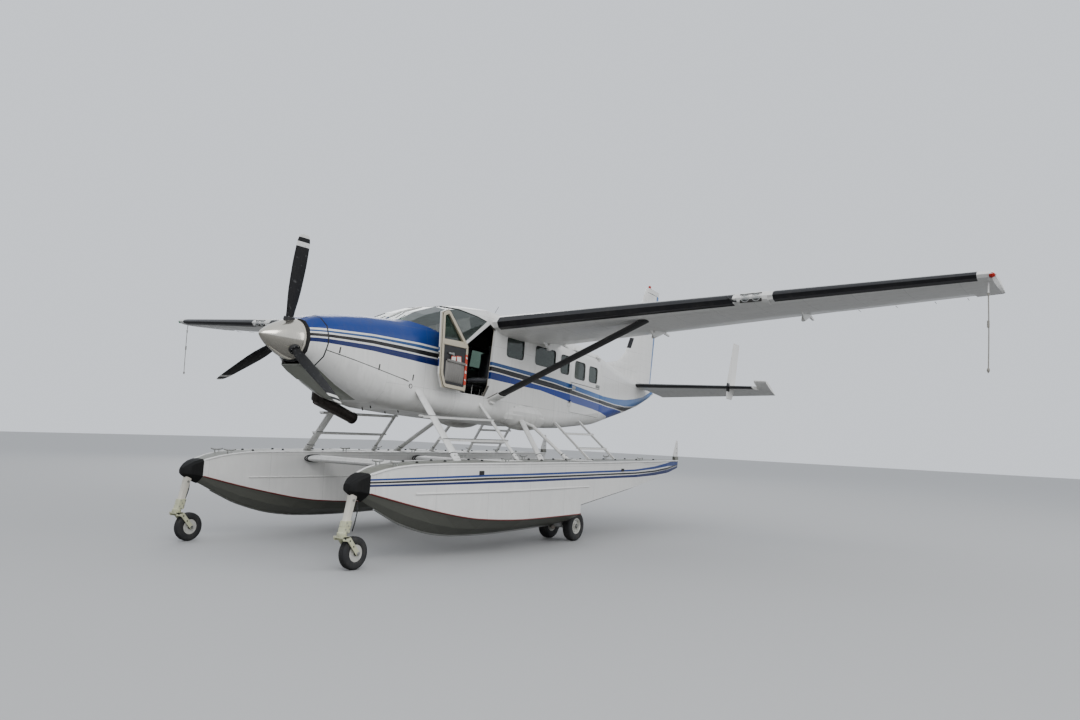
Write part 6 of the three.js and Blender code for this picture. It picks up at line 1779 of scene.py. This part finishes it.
def addFloor():
    low = cabin["floor"] + 0.0005
    ring = rectangle(2.42, -0.56, 7.3, 0.56)
    board = loftPart([[air(u, y, w) for u, y in roundCorners(ring, 0.04)] for w in (low, low + 0.013)])
    floor = addPiece("cabinCarpet", [board], "carpet", bevel=0.002)
    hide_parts("cabin_interior")
    tracks = []
    for across in (-0.57 + 0.03, -0.24, 0.24, 0.54):
        tracks.append(boxPart((2.9, across - 0.014, low + 0.012), (6.6, across + 0.014, low + 0.018), air))
    addPiece("seatTracks", tracks, "steel", bevel=0.001)


addFloor()


def addFlightDeck():
    outline = roundCorners([(-0.6, -0.06), (0.6, -0.06), (0.6, 0.3), (0.42, 0.395), (-0.42, 0.395), (-0.6, 0.3)], 0.05,
                           5)
    board = loftPart([[air(u, y, w) for y, w in outline] for u in (2.605, 2.64)])
    addPiece("panelBoard", [board], "panel", bevel=0.003)
    rings, faces, screens, knobs, needles = [], [], [], [], []
    for side in (-1, 1):
        for i, y in enumerate((0.24, 0.33, 0.42)):
            for w in (0.28, 0.19):
                centre = air(2.64, side * y, w)
                rings.append(loftPart([circle(centre + aft * a, aft, r, 28) for a, r in
                                       ((-0.002, 0.041), (0.006, 0.041), (0.006, 0.036), (-0.002, 0.035))]))
                faces.append(rodPart(centre - aft * 0.002, centre + aft * 0.002, 0.036, 28))
                turn = 0.7 * i + w * 9
                hand = (air(0, cos(turn), sin(turn)) - air(0, 0, 0)) * 0.026
                needles.append(rodPart(centre + aft * 0.003, centre + aft * 0.003 + hand, 0.0016, 6))
        for y in (0.2, 0.28, 0.36, 0.44, 0.52):
            knobs.append(rodPart(air(2.64, side * y, 0.0), air(2.662, side * y, 0.0), 0.009, 12))
    for y0, y1, w0, w1 in ((-0.15, 0.15, 0.15, 0.33), (-0.15, 0.15, 0.02, 0.12)):
        screens.append(loftPart([[air(u, y, w) for y, w in roundCorners(rectangle(y0, w0, y1, w1), 0.012)]
                                 for u in (2.638, 2.646)]))
        for k in range(5):
            y = y0 + (y1 - y0) * (k + 0.5) / 5
            knobs.append(rodPart(air(2.64, y, w0 - 0.014), air(2.654, y, w0 - 0.014), 0.006, 10))
    addPiece("dialRims", rings, "steel", 35)
    addPiece("dialFaces", [*faces, *screens], "dial")
    addPiece("dialNeedles", needles, "paper")
    addPiece("panelKnobs", knobs, "seal", 35)
    shade = []
    for u, w, spread in ((2.36, 0.36, 0.56), (2.5, 0.402, 0.6), (2.64, 0.418, 0.6), (2.69, 0.41, 0.585)):
        line = []
        for i in range(17):
            y = -spread + 2 * spread * i / 16
            line.append((y, w - 0.09 * (abs(y) / spread) ** 3))
        shade.append([air(u, y, w) for y, w in line] + [air(u, y, w - 0.014) for y, w in reversed(line)])
    addPiece("glareShield", [loftPart(shade)], "panel", 50)
    side = [(2.63, -0.41), (3.01, -0.41), (3.01, -0.17), (2.86, -0.03), (2.63, 0.06)]
    console = loftPart([[air(u, y, w) for u, w in roundCorners(side, 0.04)] for y in (-0.095, 0.095)])
    addPiece("pedestal", [console], "panel", bevel=0.004)
    levers, grips = [], []
    for k, y in enumerate((-0.055, -0.018, 0.018, 0.055)):
        foot, head = air(2.76, y, 0.005), air(2.72 + 0.02 * k, y, 0.105)
        levers.append(rodPart(foot, head, 0.005, 8))
        grips.append(lathePart([(-0.012, 0.006), (-0.008, 0.015), (0.012, 0.016), (0.02, 0.008)], head, head - foot,
                               14))
    addPiece("powerLevers", levers, "steel", 50)
    addPiece("leverGrips", grips, "seal", 50)
    yokes, columns, pedals = [], [], []
    for out in (-1, 1):
        centre = out * 0.36
        columns.append(rodPart(air(2.63, centre, 0.09), air(2.84, centre, 0.09), 0.016, 14))
        wheel = [air(2.84, centre + y, 0.09 + w) for y, w in ((-0.13, 0.14), (-0.15, 0.06), (-0.13, -0.02),
                                                              (-0.06, -0.045), (0, -0.02), (0.06, -0.045),
                                                              (0.13, -0.02), (0.15, 0.06), (0.13, 0.14))]
        yokes.append(tubePart(smoothLine(wheel, 6), 0.013, 12))
        yokes.append(lathePart([(-0.012, 0.03), (0.012, 0.036), (0.02, 0.025)], air(2.84, centre, 0.075), aft, 20))
        for foot in (-0.1, 0.1):
            a, b = centre + foot - 0.045, centre + foot + 0.045
            pedals.append(boxPart((2.56, a, -0.3), (2.585, b, -0.17), air))
            pedals.append(rodPart(air(2.57, centre + foot, -0.18), air(2.5, centre + foot, -0.02), 0.01, 8))
    addPiece("yokes", yokes, "seal", 60)
    addPiece("yokeColumns", columns, "steel", 60)
    addPiece("pedals", pedals, "steel", bevel=0.003)


addFlightDeck()

print("carried-over nodes")

# each CAD node's finish
dressed = {
    "fuselage": "fuselage", "nose_cowl": "cowl", "engine": "exhaust", "propeller": "blade", "spinner": "spinner",
    "windshield": "shield", "stabilizer": "tail", "rudder": "rudder", "elevator": "control", "cabin_interior": "lining",
    "cargo_door_upper": "door", "cargo_door_lower": "door", "entry_door_upper": "door", "entry_door_lower": "door",
    "cargo_door_glass": "cabinGlass", "entry_door_glass": "cabinGlass", "spreader_front": "strut",
    "spreader_rear": "strut", "crew_door_port": "openDoor", "crew_door_starboard": "door",
}
rounded = {"fuselage": 58, "nose_cowl": 58, "windshield": 58, "spinner": 50, "engine": 50}
for hand in hands:
    dressed.update({
        f"wing_{hand}": "wing", f"flap_{hand}": "control", f"aileron_{hand}": "control", f"wing_strut_{hand}": "boot",
        f"cabin_windows_{hand}": "cabinGlass", f"crew_door_glass_{hand}": "cabinGlass",
        f"float_{hand}": f"float{hand.capitalize()}", f"water_rudder_{hand}": "strut", f"nose_leg_{hand}": "cream",
        f"nose_fork_{hand}": "clamp", f"nose_rim_{hand}": "wheel", f"nose_tyre_{hand}": "rubber",
        f"main_leg_{hand}": "strut", f"main_rims_{hand}": "wheel", f"main_tyre_{hand}_inner": "rubber",
        f"main_tyre_{hand}_outer": "rubber", f"float_strut_front_{hand}": "strut", f"float_strut_rear_{hand}": "strut",
        f"ladder_{hand}": "strut", f"rope_{hand}": "rope",
    })
for name, skin in dressed.items():
    part = frame["nodes"][name]
    part.data.materials.clear()
    part.data.materials.append(skins[skin])
    shadeByAngle(part.data, rounded.get(name, 32))

print("studio")
studio = {"floor": 60.0, "seen": (0.44, 0.44, 0.437), "bounce": (0.17, 0.17, 0.168), "sky": 1.12}


def addStudio():
    made, tree, shader = startMaterial("studioFloor")
    # pale to look at, darker in the light that it throws back up
    rays = tree.nodes.new("ShaderNodeLightPath")
    pale = mixed(rays.outputs["Is Camera Ray"], (*studio["bounce"], 1), (*studio["seen"], 1))
    tree.links.new(pale, shader.inputs["Base Color"])
    shader.inputs["Roughness"].default_value = 0.75
    half = studio["floor"]
    mesh = bpy.data.meshes.new("studioFloor")
    corners = [(-half, -half, 0), (half, -half, 0), (half, half, 0), (-half, half, 0)]
    mesh.from_pydata([(x, y, -0.002) for x, y, _ in corners], [], [(0, 1, 2, 3)])
    mesh.materials.append(made)
    newObject("studioFloor", mesh)
    world = bpy.data.worlds.new("softSky")
    bpy.context.scene.world = world
    world.use_nodes = True
    backdrop = world.node_tree.nodes["Background"]
    backdrop.inputs["Color"].default_value = (0.82, 0.86, 0.92, 1)
    backdrop.inputs["Strength"].default_value = studio["sky"]
    for name, place, size, power, turn in (
            ("keyLight", (-16, -14, 14), 12, 2100, (0, 0, 0)), ("fillLight", (6, -20, 9), 14, 950, (0, 0, 0)),
            ("rimLight", (14, 16, 12), 12, 1150, (0, 0, 0))):
        light = bpy.data.lights.new(name, "AREA")
        light.size = size
        light.energy = power
        lamp = newObject(name, light)
        lamp.location = place
        lamp.rotation_euler = (Vector((0, 0, 2)) - Vector(place)).to_track_quat("-Z", "Y").to_euler()


addStudio()
